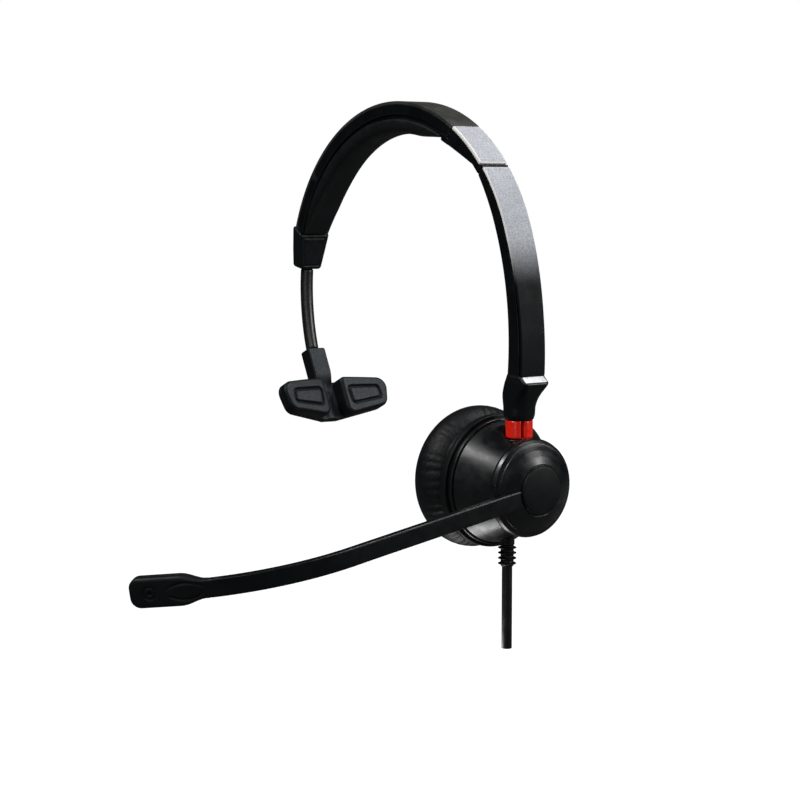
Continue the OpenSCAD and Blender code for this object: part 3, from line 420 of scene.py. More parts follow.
BLACK = (0.0030, 0.0038, 0.0048)
# Colour of the painted highlight lines on the plates.
RIM_HIGHLIGHT = (0.95, 0.93, 0.88)
SILVER_END = MOUTH_TURN - 0.85
PLATE = (0.44, 0.455, 0.49)
REST_GREY = (0.034, 0.041, 0.045)
# Painted highlight lines along both long edges of the plates.
EDGE_HIGHLIGHTS = [((0, 1, 0), 6.0, 6.15), ((0, -1, 0), 6.0, 6.15)]
FINISH = {
    # edge paints a highlight on the convex edges of these finishes.
    "black": finish_material("black_moulding", BLACK, 0.34, spec=0.28, grain=(2600, 0.025), edge=0.5),
    "gloss": finish_material("gloss_housing", BLACK, 0.33, spec=0.5, grain=(1800, 0.03), edge=0.4),
    "dark": finish_material("grained_black", (0.0040, 0.0050, 0.0060), 0.5, spec=0.2, grain=(2400, 0.1),
                            edge=0.4),
    "strip": finish_material("grained_strip", (0.030, 0.030, 0.027), 0.5, grain=(1700, 0.35), vary=0.4),
    "silver": finish_material("silver_plate", PLATE, 0.6, metal=0.1, spec=0.3, grain=(2600, 0.3), vary=0.04,
                              speckle=0.22, highlight_rims=EDGE_HIGHLIGHTS + [end_highlight(SILVER_END, 1)]),
    # Painted shade: the arm plate's silver goes to black towards the bottom.
    "fade": finish_material("plate_with_painted_shade", PLATE, 0.55, metal=0.1, spec=0.12, grain=(2600, 0.3), vary=0.04,
                            speckle=0.22, highlight_rims=EDGE_HIGHLIGHTS + [end_highlight(ARM_TURN, -1)], fade=(74, 95, BLACK),
                            rough_var=0.05),
    # The lip is bright metal; its near-white, mostly non-metal colour is a painted reflection.
    "lip": finish_material("lip_with_painted_reflection", (0.93, 0.93, 0.94), 0.3, metal=0.2, grain=(1500, 0.02),
                           vary=0.02),
    "red": finish_material("red_gloss", (1.0, 0.016, 0.004), 0.28, spec=0.55, coat=0.2, grain=(900, 0.01),
                           vary=0.05),
    "oxide": finish_material("black_oxide_screw", (0.012, 0.012, 0.013), 0.4, metal=0.6, grain=(2000, 0.1)),
    "pad": finish_material("soft_pad", (0.0045, 0.0055, 0.0066), 0.5, spec=0.28, grain=(1500, 0.15),
                           cells=(1500, 0.1)),
    "leather": finish_material("black_leatherette", (0.0040, 0.0048, 0.0058), 0.45, spec=0.24,
                               grain=(1200, 0.15), cells=(1150, 0.25)),
    "rubber": finish_material("black_rubber", (0.004, 0.004, 0.0045), 0.5, spec=0.35, grain=(2000, 0.2)),
    "jacket": finish_material("cable_jacket", (0.005, 0.005, 0.0055), 0.4, spec=0.4, grain=(1500, 0.08)),
    "rod": finish_material("coated_rod", (0.0045, 0.005, 0.006), 0.38, spec=0.8, grain=(600, 0.002),
                           rough_var=0.02),
    "steel": finish_material("plain_steel", (0.56, 0.56, 0.58), 0.32, metal=1.0, grain=(1500, 0.1),
                             vary=0.08, stretch=(1, 1, 8)),
    "spring": finish_material("spring_steel", (0.36, 0.37, 0.4), 0.3, metal=1.0, grain=(1600, 0.12),
                              vary=0.15, stretch=(1, 8, 1)),
    "copper": finish_material("copper_strands", (0.72, 0.34, 0.16), 0.3, metal=1.0, grain=(2500, 0.4),
                              vary=0.2),
    "white": finish_material("natural_plastic", (0.62, 0.62, 0.57), 0.5, grain=(2000, 0.1), vary=0.06),
    "film": finish_material("diaphragm_film", (0.55, 0.5, 0.36), 0.3, grain=(900, 0.2), vary=0.1),
    "board": finish_material("board_green", (0.015, 0.12, 0.045), 0.35, coat=0.3, grain=(700, 0.15),
                             vary=0.3),
    "cloth": finish_material("acoustic_cloth", (0.02, 0.02, 0.02), 0.9, grain=(900, 0.6), cells=(1600, 0.6),
                             sheen=0.2),
}
SLOT_FINISH = {"leatherette": "leather", "bush": "white", "magnet": "spring", "rest": "dark"}
SLOT_OF = {s["node"]: s["material_slot"] for s in frame["record"]["subparts"]}
BODY_OF = {name: obj["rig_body"] for name, obj in frame["nodes"].items()}


def look(node):
    slot = "oxide" if node in ("clip_screws", "sleeve_screws") else SLOT_OF[node]
    return FINISH[SLOT_FINISH.get(slot, slot)]


def stand_in(obj, node, *more):
    """The piece takes the place and body of its CAD node."""
    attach(obj, BODY_OF[node])
    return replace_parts(obj, node, *more)


# ---- More mesh builders ----

def bridge(bm, rows):
    """Faces between neighbouring loops of vertices."""
    count = len(rows[0])
    for a, b in zip(rows, rows[1:]):
        for i in range(count):
            j = (i + 1) % count
            bm.faces.new((a[i], a[j], b[j], b[i]))


def skins(name, shells, material, place=None):
    """One piece of several closed skins, each a list of equal loops in millimetres."""
    bm = bmesh.new()
    for loops in shells:
        rows = [[bm.verts.new((place @ Vector(p) if place else Vector(p)) * MM) for p in loop]
                for loop in loops]
        bridge(bm, rows)
        bm.faces.new(rows[0])
        bm.faces.new(rows[-1])
    return new_piece(name, bm, material)


def shrink(points, inset):
    """Section drawn in towards its middle by about the inset on every side."""
    if inset == 0:
        return points
    lo = [min(p[k] for p in points) for k in (0, 1)]
    hi = [max(p[k] for p in points) for k in (0, 1)]
    mid = [(a + b) / 2 for a, b in zip(lo, hi)]
    scale = [max(0.05, 1 - 2 * inset / (b - a)) for a, b in zip(lo, hi)]
    return [tuple(m + (v - m) * s for v, m, s in zip(p, mid, scale)) for p in points]


def sweep_loops(path, length, section, bevel=0.4, count=60):
    """Loops of a bar along a path in the arch's plane; section(t) gives (outward, across) points."""
    steps = end_steps(length, bevel, count) if bevel else [(length * k / count, 0) for k in range(count + 1)]
    loops = []
    for s, inset in steps:
        (px, pz), (nx, nz) = path(s)
        loops.append([(px + n * nx, y, pz + n * nz) for n, y in shrink(section(s / length), inset)])
    return loops


def pipe(name, outer, inner, material):
    """Hollow bar between two lists of loops that run together."""
    bm = bmesh.new()
    rows = [[[bm.verts.new(Vector(p) * MM) for p in loop] for loop in loops] for loops in (outer, inner)]
    for skin in rows:
        bridge(bm, skin)
    for end in (0, -1):
        bridge(bm, [rows[0][end], rows[1][end]])
    return new_piece(name, bm, material)


def depth_to(centre, r, p, n):
    """Distance from p, against the outward direction n, to the nearer side of a circle round the centre."""
    q = (p[0] - centre[0], p[1] - centre[1])
    dot = q[0] * n[0] + q[1] * n[1]
    return dot - math.sqrt(dot * dot - q[0] ** 2 - q[1] ** 2 + r * r)


def swept(node, path, length, section, bevel, count):
    """A bar along the arch that stands in for its node."""
    loops = sweep_loops(path, length, section, bevel, count)
    return stand_in(skins(node + "_look", [loops], look(node)), node)


def turned(node, profile, place, segs, material=None):
    """A lathed ring or disc that stands in for its node."""
    return stand_in(lathe(node + "_look", profile, place, material or look(node), segs), node)


def disc_edge(end_a, end_b, r):
    """Distance inwards from a point of the outline to the head-side disc through two points."""
    dx, dy = end_b[0] - end_a[0], end_b[1] - end_a[1]
    size = math.hypot(dx, dy)
    rise = math.sqrt(r * r - size * size / 4)
    c = ((end_a[0] + end_b[0]) / 2 + dy / size * rise, (end_a[1] + end_b[1]) / 2 - dx / size * rise)

    return lambda p, n: depth_to(c, r, p, n)


def eased(t, pull=0.88):
    """Closer steps near both ends, where the rounded edge lies."""
    return t - pull * math.sin(2 * math.pi * t) / (2 * math.pi)


def edge_distance(outline, a, b):
    best = 1e9
    for (x0, y0), (x1, y1) in zip(outline, outline[1:] + outline[:1]):
        dx, dy = x1 - x0, y1 - y0
        size = dx * dx + dy * dy
        t = clamp(((a - x0) * dx + (b - y0) * dy) / size) if size else 0.0
        best = min(best, math.hypot(a - x0 - t * dx, b - y0 - t * dy))
    return best


def span(outline, a):
    """Lowest and highest b of the outline at a."""
    hits = []
    for (x0, y0), (x1, y1) in zip(outline, outline[1:] + outline[:1]):
        if min(x0, x1) <= a <= max(x0, x1):
            hits += [y0, y1] if x0 == x1 else [y0 + (y1 - y0) * (a - x0) / (x1 - x0)]
    return min(hits), max(hits)


def plate(name, outline, place, material, front, back, round_front=0.8, round_back=0.8, carve=None,
          rows=60, cols=36, open_end=False):
    """Plate over an outline in (a, b), between two heights, with rounded edges and carved lines.

    round_front is a radius or a function of a; open_end leaves the end at a < 2 square, as a neck.
    """
    def drop(d, r):
        d = min(d, r)
        return r - math.sqrt(max(0.0, r * r - (r - d) ** 2))
    a_lo, a_hi = min(p[0] for p in outline), max(p[0] for p in outline)
    loops = []
    for k in range(rows + 1):
        a = a_lo + (a_hi - a_lo) * eased(k / rows)
        a = min(max(a, a_lo + 1e-6), a_hi - 1e-6)
        b_lo, b_hi = span(outline, a)
        top, low = [], []
        for j in range(cols + 1):
            b = b_lo + (b_hi - b_lo) * eased(j / cols)
            d = min(b - b_lo, b_hi - b) if open_end and a < 2 else edge_distance(outline, a, b)
            cut = carve(a, b, d) if carve else 0.0
            r = round_front(a) if callable(round_front) else round_front
            top.append((a, b, front(a, b) - drop(d, r) - cut))
            low.append((a, b, back(a, b) + drop(d, round_back)))
        loops.append(top + low[::-1])
    return skins(name, [loops], material, place)


def baked(obj):
    """The object's modifiers, written into its mesh."""
    graph = bpy.context.evaluated_depsgraph_get()
    mesh = bpy.data.meshes.new_from_object(obj.evaluated_get(graph))
    obj.modifiers.clear()
    obj.data = mesh
    return obj


def cut_out(obj, cutter):
    """Takes the cutter's form out of the piece."""
    obj.modifiers.clear()
    hole = obj.modifiers.new("hole", "BOOLEAN")
    hole.operation = "DIFFERENCE"
    hole.solver = "EXACT"
    hole.object = cutter
    baked(obj)
    bpy.data.objects.remove(cutter)
    weighted = obj.modifiers.new("weighted", "WEIGHTED_NORMAL")
    weighted.weight = 80
    return obj


def puff(obj, held, pressure=4.0, most=0.6):
    """Foam under its cover: pressed outwards from inside, with the glued part held still."""
    obj.modifiers.clear()
    rest = [v.co.copy() for v in obj.data.vertices]
    group = obj.vertex_groups.new(name="glued")
    group.add([i for i, v in enumerate(rest) if held(v)], 1.0, "REPLACE")
    cloth = obj.modifiers.new("cover", "CLOTH")
    s = cloth.settings
    s.quality = 6
    s.mass = 0.15
    s.use_pressure = True
    s.uniform_pressure_force = pressure
    s.effector_weights.gravity = 0
    s.vertex_group_mass = "glued"
    cloth.point_cache.frame_start = 1
    cloth.point_cache.frame_end = 20
    scene = bpy.context.scene
    for f in range(1, 21):
        scene.frame_set(f)
    graph = bpy.context.evaluated_depsgraph_get()
    moved = [v.co.copy() for v in obj.evaluated_get(graph).data.vertices]
    obj.modifiers.clear()
    obj.vertex_groups.clear()
    scene.frame_set(1)
    for v, a, b in zip(obj.data.vertices, rest, moved):
        step = b - a
        size = step.length / MM
        if size > 0:
            v.co = a + step * (most * math.tanh(size / most) / size)
    return obj


def refined(obj):
    soft = obj.modifiers.new("soft", "SUBSURF")
    soft.levels = soft.render_levels = 1
    return baked(obj)


def band_place(centre, radius, turn):
    side = -1 if turn < 0 else 1
    px, pz = on_arc(centre, radius, turn)
    spin = Matrix.Rotation(math.pi, 4, "Z") if side > 0 else Matrix.Identity(4)
    return (Matrix.Translation((px, 0, pz)) @ Matrix.Rotation(math.radians(turn + side * 90), 4, "Y") @ spin)


# ---- Headband ----

def band_pieces():
    path, length = arc_path(CROWN_C, CROWN_R, SHELL_START, SLEEVE_TURN)
    channel = fillet([(-1.35, 6.5), (-SHELL_T, 6.5), (-SHELL_T, -6.5), (-1.35, -6.5), (-1.35, -5.0),
                      (-4.8, -5.0), (-4.8, 5.0), (-1.35, 5.0)], [0.25, 1.2, 1.2, 0.25, 0.1, 0.3, 0.3, 0.1])
    swept("band_shell", path, length, lambda t: channel, 0, 120)

    half = BAND_W / 2
    strip = fillet([(0, half), (-COVER_T, half), (-COVER_T, -half), (0, -half), (0, 0.7 - half),
                    (-0.22, 0.8 - half), (-0.22, 0.95 - half), (0, 1.05 - half), (0, half - 1.05),
                    (-0.22, half - 0.95), (-0.22, half - 0.8), (0, half - 0.7)],
                   [0.35, 0.1, 0.1, 0.35] + [0] * 8)
    swept("band_top_cover", path, length, lambda t: strip, 0.15, 120)

    path, length = arc_path(CROWN_C, CROWN_R, PAD_START, PAD_END)
    carrier = rrect(-6.6, -5.65, 5.5, 0.2, 0.2)
    swept("pad_carrier", path, length, lambda t: carrier, 0.3, 90)

    low = disc_edge(on_arc(CROWN_C, 68.7, PAD_START), on_arc(CROWN_C, 63.2, -42), 200)
    top = disc_edge(on_arc(CROWN_C, 63.2, 12), on_arc(CROWN_C, 68.3, PAD_END), 400)

    def pad_section(t):
        p, n = path(t * length)
        turn = PAD_START + (PAD_END - PAD_START) * t
        inner = -min(PAD_DEPTH, low(p, n) if turn < -42 else top(p, n) if turn > 12 else PAD_DEPTH)
        outer = -6.65
        mid, rise = outer - 0.35 * (outer - inner), (outer - inner)
        wide = 7.25 - 1.1 * clamp((-60 - turn) / 11.3)
        pts = []
        for k in range(32):
            a = 2 * math.pi * k / 32
            c, s = math.cos(a), math.sin(a)
            e = 5.0 if s > 0 else 2.5
            y = wide * math.copysign(abs(c) ** (2 / e), c)
            n_out = 0.35 * rise if s > 0 else 0.65 * rise
            pts.append((mid + n_out * math.copysign(abs(s) ** (2 / e), s), y))
        return pts

    pad = skins("head_pad_look", [sweep_loops(path, length, pad_section, 0.7, 76)], look("head_pad"))
    centre = Vector((CROWN_C[0], 0, CROWN_C[1])) * MM

    def glued(v):
        flat = v - centre
        return math.hypot(flat.x, flat.z) > 67.6 * MM
    puff(pad, glued, 4.0, 0.45)
    stand_in(refined(pad), "head_pad")


def sleeve_pieces():
    path, length = arc_path(CROWN_C, CROWN_R, SLEEVE_TURN + 0.1, MOUTH_TURN)
    edge = disc_edge(on_arc(CROWN_C, 67.5, 29), on_arc(CROWN_C, 71.2, 45), 400)

    def under(p, n):
        return -max(4.9, edge(p, n))

    def outer(t):
        p, n = path(t * length)
        return rrect(under(p, n), -0.25 if t * length > length - 0.75 else -1.35, BAND_W / 2, 1.3, 0.2)

    def inner(t):
        depth = depth_to(SLIDE_C, SLIDE_R, *path(t * length))
        return rrect(-depth - 0.68, -depth + 0.68, 4.58, 0.3, 0.3)
    outside = sweep_loops(path, length, outer, 0.35, 30)
    inside = []
    for s, _ in end_steps(length, 0.35, 30):
        (px, pz), (nx, nz) = path(s)
        inside.append([(px + n * nx, y, pz + n * nz) for n, y in inner(s / length)])
    body = pipe("slider_sleeve_look", outside, inside, look("slider_sleeve"))

    skirt_path, skirt_length = arc_path(CROWN_C, CROWN_R, 27.3, SLEEVE_TURN + 0.25)

    def skirt(t):
        p, n = skirt_path(t * skirt_length)
        return rrect(-edge(p, n), -SHELL_T - 0.05, BAND_W / 2, 1.0, 0.15)
    lower = skins("skirt", [sweep_loops(skirt_path, skirt_length, skirt, 0.25, 8)], look("slider_sleeve"))
    joined(body, lower)
    stand_in(body, "slider_sleeve")

    path, length = arc_path(CROWN_C, CROWN_R, SLEEVE_TURN + 0.1, SILVER_END)
    silver = rrect(-COVER_T, 0, BAND_W / 2, 0.12, 0.55, 5)
    swept("sleeve_trim_plate", path, length, lambda t: silver, 0.5, 30)


def joined(obj, *others):
    """Adds the meshes of the others to the first piece."""
    bm = bmesh.new()
    for o in (obj, *others):
        bm.from_mesh(o.data)
    bm.to_mesh(obj.data)
    bm.free()
    for p in obj.data.polygons:
        p.use_smooth = True
    for o in others:
        bpy.data.objects.remove(o)
    return obj


def clip_pieces():
    place = band_place(CROWN_C, ROD_R, CLIP_TURN)
    facing = Matrix(((0, 0, -1, 0), (0, 1, 0, 0), (1, 0, 0, 0), (0, 0, 0, 1)))
    outline = fillet([(-7.8, -7.6), (-7.8, 7.6), (7.8, 5.2), (7.8, -5.2)], [1.1, 1.1, 1.8, 1.8], 5)

    def border(a, b, d):
        return 0.22 * math.exp(-((d - 1.8) / 0.32) ** 2)
    clip = plate("temple_clip_look", outline, place @ facing, FINISH["dark"], lambda a, b: 3.8,
                 lambda a, b: -3.5, 1.2, 1.4, border, 80, 60)
    back = (place @ facing).inverted()
    for v in clip.data.vertices:
        p = back @ (v.co / MM)
        if p.x < 0:
            p.x -= 0.36 * (3.8 - p.z) * (-p.x / 7.8)
            v.co = (place @ facing @ p) * MM
    path, length = arc_path(CROWN_C, ROD_R, -90, -66)
    bore = circle(1.75, 24)
    cutter = skins("cutter", [sweep_loops(path, length, lambda t: bore, 0, 16)], look("temple_clip"))
    cut_out(clip, cutter)
    path, length = arc_path(CROWN_C, CROWN_R, SHELL_START - 0.05, -60)
    channel = rrect(-SHELL_T - 0.1, 0.1, BAND_W / 2 + 0.1, 0.1, 0.1)
    room = skins("room", [sweep_loops(path, length, lambda t: channel, 0, 16)], look("temple_clip"))
    stand_in(cut_out(clip, room), "temple_clip")


# ---- Ear-side arm ----

def arm_pieces():
    low_turn = 90 + math.degrees(math.asin((FLANK_C[1] - LIP_TOP) / FLANK_R))
    lip_x = FLANK_C[0] + math.sqrt(FLANK_R ** 2 - (LIP_TOP - FLANK_C[1]) ** 2)
    path, length = arm_path(ARM_TURN, low_turn)
    under = disc_edge(on_arc(CROWN_C, 71.1, ARM_TURN), (lip_x - 8.6, LIP_TOP), 119)

    def section(t):
        p, n = path(t * length)
        low = -under(p, n)
        r = min(2.0, -low * 0.36)
        return fillet([(-0.95, 6.5), (-2.3, 6.5), (-2.5, 6.25), (low, 6.25), (low, -6.25), (-2.5, -6.25),
                       (-2.3, -6.5), (-0.95, -6.5)], [0.2, 0.1, 0.1, r, r, 0.1, 0.1, 0.2], 6)
    arm = sweep_loops(path, length, section, 0.35, 110)
    root_path, root_length = arc_path(CROWN_C, CROWN_R, ARM_TURN - 0.6, ARM_TURN + 0.6)
    root = sweep_loops(root_path, root_length, lambda t: rrect(-4.6, -0.3, 6.2, 0.8, 0.3), 0.2, 4)

    # The neck below the trim bar, from the top down: height, inner and outer x, half width, corner radius
    stations = [(42.2, 35.2, 41.0, 6.1, 1.4), (41.2, 34.8, 42.9, 6.3, 1.3), (40.9, 34.7, 43.2, 6.3, 1.3),
                (39.8, 34.1, 44.4, 6.2, 1.2), (38.9, 33.5, 45.5, 6.1, 1.2), (38.55, 33.2, 45.95, 6.05, 1.3),
                (38.1, 32.9, 46.05, 6.0, 1.5), (37.6, 32.5, 45.95, 6.0, 1.8), (36.9, 32.0, 45.5, 6.0, 2.2),
                (36.0, 31.4, 44.8, 6.0, 2.7), (34.3, 30.4, 43.5, 6.0, 3.6), (32.5, 29.7, 42.5, 6.0, 4.6),
                (30.7, 29.45, 41.85, 6.0, 5.4), (28.9, 29.4, 41.5, 6.0, 5.9), (27.2, 29.4, 41.4, 6.0, 5.95),
                (25.9, 29.5, 41.3, 5.9, 5.85), (24.8, 29.85, 40.95, 5.55, 5.5),
                (24.25, 30.1, 40.7, 5.3, 5.25), (24.15, 30.3, 40.5, 5.1, 5.05)]
    neck = []
    for (z, x0, x1, half, r), (z2, *rest) in zip(stations, stations[1:] + [stations[-1]]):
        for k in range(4 if z2 < z - 0.3 else 1):
            t = k / 4
            mix = [u + (v - u) * t for u, v in zip((z, x0, x1, half, r), (z2, *rest))]
            neck.append([(x, y, mix[0]) for x, y in rrect(mix[1], mix[2], mix[3], mix[4], mix[4], 9)])
    stand_in(skins("arm_body_look", [arm, root, neck], look("arm_body")), "arm_body")

    def face(t):
        return rrect(-0.9, 0, BAND_W / 2 - 0.2 - 0.6 * smooth((t - 0.3) / 0.6), 0.1, 0.4, 5)
    swept("arm_trim_plate", path, length, face, 0.45, 110)

    bar_side = fillet([(lip_x - 2.2, LIP_TOP - 0.05), (lip_x, LIP_TOP - 0.05), (lip_x + 2.6, LIP_LOW),
                       (lip_x - 2.2, LIP_LOW)], [0.15, 0.45, 0.3, 0.1], 4)
    loops = [[(x, y, z) for x, z in shrink(bar_side, inset)]
             for y, inset in [(s - 5.1, i) for s, i in end_steps(10.2, 0.3, 3)]]
    stand_in(skins("trim_lip_look", [loops], look("trim_lip")), "trim_lip")


# ---- Ear cup ----

def collar_pieces():
    spin = SWIVEL @ Matrix.Rotation(math.radians(-23), 4, "Z")
    r_out, r_in, half_slit, nose = 5.15, 2.12, 0.4, 1.0
    reach = math.sqrt((r_out - nose) ** 2 - (half_slit + nose) ** 2)
    start = math.atan2(half_slit + nose, reach)
    for side, node in ((-1, "collar_front_half"), (1, "collar_rear_half")):
        outline = [(reach + nose * math.cos(a), half_slit + nose + nose * math.sin(a))
                   for a in [-math.pi / 2 + (start + math.pi / 2) * k / 6 for k in range(7)]]
        outline += [(r_out * math.cos(a), r_out * math.sin(a))
                    for a in [start + (math.pi - 2 * start) * k / 40 for k in range(1, 40)]]
        outline += [(-x, y) for x, y in outline[6::-1]]
        inner = math.asin(half_slit / r_in)
        outline += [(r_in * math.cos(a), r_in * math.sin(a))
                    for a in [math.pi - inner - (math.pi - 2 * inner) * k / 24 for k in range(25)]]
        outline = [(x, side * y) for x, y in outline]
        # Height above the collar's foot and inset of the edge
        steps = [(0, 0.75), (0.1, 0.45), (0.3, 0.2), (0.55, 0.06), (0.8, 0), (3.4, 0), (6.3, 0),
                 (6.55, 0.03), (6.75, 0.12), (6.88, 0.3)]
        loops = []
        for s, inset in steps:
            scale = 1 - inset / r_out
            loops.append([spin @ Vector((x * scale, side * 0.1 * inset + y * scale, 17.12 + s))
                          for x, y in outline])
        stand_in(skins(node + "_look", [loops], look(node)), node)


def cup_pieces():
    profile = fillet([(23.7, 25.1), (17.0, 39.2), (17.0, 40.6), (2.1, 40.6), (2.1, 39.3), (15.2, 39.15),
                      (21.9, 25.1)], [0.5, 0.8, 0.5, 0.1, 0.1, 0.4, 0.3], 6)
    cone = lathe("cup_housing_look", profile, CUP, FINISH["gloss"], 160)
    cutter = lathe("cutter", [(0, 16.5), (6.0, 16.5), (6.0, 32), (0, 32)], SWIVEL, FINISH["gloss"], 64)
    cut_out(cone, cutter)
    rim = fillet([(6.4, 17.0), (5.75, 17.0), (5.6, 16.7), (2.2, 16.7), (2.2, 10.6), (6.4, 10.6)],
                 [0.3, 0.2, 0.1, 0.1, 0.1, 0.2], 5)
    boss = lathe("boss", rim, SWIVEL, FINISH["gloss"], 96)
    posts = []
    for i in range(3):
        spot = CUP @ Matrix.Rotation(math.radians(60 + 120 * i), 4, "Z") @ Matrix.Translation((19.4, 0, 0))
        posts.append(lathe("post", fillet([(2.1, 22), (2.1, 30), (0.92, 30), (0.92, 22)], 0.15, 3), spot,
                           FINISH["gloss"], 24))
    joined(cone, boss, *posts)
    stand_in(cone, "cup_housing")

    ring = fillet([(24.4, 23), (24.4, 25.05), (21.6, 25.05), (21.6, 23)], [0.35, 0.6, 0.2, 0.1], 5)
    turned("housing_ring", ring, CUP, 160, FINISH["gloss"])
    disc = fillet([(0.95, 20.1), (25.7, 20.1), (25.7, 22.95), (22.6, 22.95), (22.6, 21.95), (0.95, 21.95)],
                  [0.2, 0.5, 0.7, 0.2, 0.2, 0.2], 5)
    baffle = lathe("baffle_plate_look", disc, CUP, look("baffle_plate"), 160)
    drills = [lathe("drill", [(0, 19), (0.9, 19), (0.9, 24), (0, 24)],
                    CUP @ Matrix.Rotation(math.radians(60 * i / ring_no), 4, "Z")
                    @ Matrix.Translation((4 * ring_no, 0, 0)), FINISH["dark"], 16)
              for ring_no in (1, 2) for i in range(6 * ring_no)]
    stand_in(cut_out(baffle, joined(*drills)), "baffle_plate")
    tuck = fillet([(25.4, 19.05), (25.4, 20.05), (14.8, 20.05), (14.8, 19.05)], [0.35, 0.35, 0.1, 0.1], 4)
    turned("cushion_ring", tuck, CUP, 128)
    cloth = [(0, 19.15), (6, 19.1), (11, 19.12), (13.9, 19.2), (14.4, 19.4), (14.4, 19.8), (14.1, 19.95),
             (0, 19.95)]
    turned("speaker_cloth", cloth, CUP, 96)


def cushion_piece():
    """Leatherette ring: a round section with its back tucked under the ring, then pleated."""
    centre_r, centre_u, r = CUSHION_R - 9.9, 9.9, 9.9
    profile = []
    start = math.asin((19 - centre_u) / r)
    for k in range(23):
        a = start + (-math.pi / 2 - start) * k / 22
        profile.append((centre_r + r * math.cos(a), centre_u + r * math.sin(a)))
    inner = math.acos((12 - centre_r) / r)
    for k in range(1, 8):
        a = -math.pi / 2 - (inner - math.pi / 2) * k / 7
        profile.append((centre_r + r * math.cos(a), centre_u + r * math.sin(a)))
    profile += [(12, 7.5 + 2.2 * k) for k in range(1, 5)] + [(12.1, 18.4), (12.8, 19)]
    profile += [(12.8 + (centre_r + r * math.cos(start) - 12.8) * k / 6, 19) for k in range(1, 6)]
    cushion = lathe("ear_cushion_look", profile, CUP, look("ear_cushion"), 144)
    back = CUP.inverted()
    puff(cushion, lambda v: (back @ (v / MM)).z > 17.2, 4.0, 0.5)
    refined(cushion)
    for v in cushion.data.vertices:
        p = back @ (v.co / MM)
        radius, turn = math.hypot(p.x, p.y), math.atan2(p.y, p.x)
        if radius < 14:
            fold = 0.18 * math.sin(30 * turn + 2 * noise.noise((p.x * 0.2, p.y * 0.2, 3))) * max(0, p.z / 19)
            out = -1
        else:
            weight = clamp((p.z - 7) / 9) ** 1.3
            wander = noise.noise((p.x * 0.12, p.y * 0.12, 0)) * 5
            depth = 0.5 + 0.5 * noise.noise((p.x * 0.1, p.y * 0.1, 8))
            fold = -0.62 * weight * depth * (0.5 + 0.5 * math.sin(46 * turn + wander)) ** 2
            out = 1
        scale = (radius + out * fold) / radius if p.z < 18.9 else 1
        v.co = (CUP @ Vector((p.x * scale, p.y * scale, p.z))) * MM
    for p in cushion.data.polygons:
        p.use_smooth = True
    stand_in(cushion, "ear_cushion")


def cable_pieces():
    place = Matrix.Translation((CABLE_X, 0, 0))
    profile = [(1.64, -32.8), (2.45, -32.8)]
    radii = [0, 0.2]
    for i in range(4):
        z = -32.3 + 2.03 * i
        profile += [(2.5, z - 0.05), (3.5, z + 0.4), (3.55, z + 0.6), (2.5, z + 1.15)]
        radii += [0.2, 0.1, 0.1, 0.2]
    profile += [(2.5, -24.8), (2.8, -24.4), (2.8, -18), (4.0, -18), (4.0, -16.8), (1.64, -16.8)]
    radii += [0.1, 0.2, 0.1, 0.1, 0.1, 0]
    turned("strain_relief", fillet(profile, radii, 3), place, 72)
    jacket = fillet([(0.02, -64.9), (1.6, -64.85), (2.0, -64.9), (2.0, -32.85), (1.6, -32.85), (1.6, -15.5),
                     (0.02, -15.5)], [0, 0.1, 0.2, 0.1, 0, 0.1, 0], 3)
    jacket = [(0, -64.9)] + jacket[1:-1] + [(0, -15.5)]
    turned("cable", jacket, place, 48)


# ---- Boom ----

def hub_pieces():
    profile = fillet([(2.06, 41.1), (5.2, 41.1), (5.2, 46.1), (9.2, 46.1), (12.2, 45.2), (15.6, 43.3),
                      (17.2, 42.2), (17.2, 41.1), (18.75, 41.1), (18.75, 42.3), (18.3, 43.6), (17.2, 44.3),
                      (16.75, 44.4), (16.6, 44.75), (16.3, 44.9), (14.8, 45.95), (12.6, 47.15), (9.95, 48.3),
                      (9.75, 48.15), (9.5, 48.15), (9.3, 48.3), (9.3, 47.2), (2.06, 47.2)],
                     [0.1, 0.1, 0.3, 0.5, 0.5, 0.4, 0.3, 0.2, 0.3, 0.7, 0.35, 0.12, 0.08, 0.15, 0.2,
                      1.5, 1.5, 0.12, 0.05, 0.05, 0.1, 0.1, 0.1], 6)
    turned("hub_dome", profile, CUP, 192, FINISH["gloss"])
    dome = [(r, 50.05 - (60 - math.sqrt(3600 - r * r))) for r in (0, 2, 4, 6, 7.6, 8.3)]
    cap = dome + fillet([dome[-1], (9.2, 49.3), (9.2, 47.3), (8.0, 47.3), (8.0, 48.4)],
                        [0, 0.5, 0.1, 0.1, 0.1], 5, False)[1:] + [(0, 48.4)]
    turned("hub_cap", cap, CUP, 144)


def strap_piece():
    """One strap from the hub to the capsule, so that it stays whole across the boom's bend."""
    start = 5.7
    first = BOOM_STRAIGHT - start
    length = first + math.radians(BOOM_TURN) * BOOM_CURVE_R + 1.5
    centre = (BOOM_STRAIGHT, STRAP_LV - BOOM_CURVE_R)

    def path(s):
        if s < first:
            return (start + s, STRAP_LV), (0.0, 1.0)
        turn = math.degrees((s - first) / BOOM_CURVE_R)
        return on_arc(centre, BOOM_CURVE_R, turn), turn_dir(turn)

    def section(t):
        over = max(0.0, t * length - (length - 7)) / 7
        thin = 1 - 0.12 * (over > 0.75)
        return rrect(-STRAP_T / 2 * thin, STRAP_T / 2 * thin, STRAP_W / 2 * thin, 0.6, 0.6, 5)
    strap = skins("boom_strap_look", [sweep_loops(path, length, section, 0.3, 190)], look("boom_rear"), BOOM)
    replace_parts(strap, "boom_rear", "boom_front")
    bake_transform(strap)


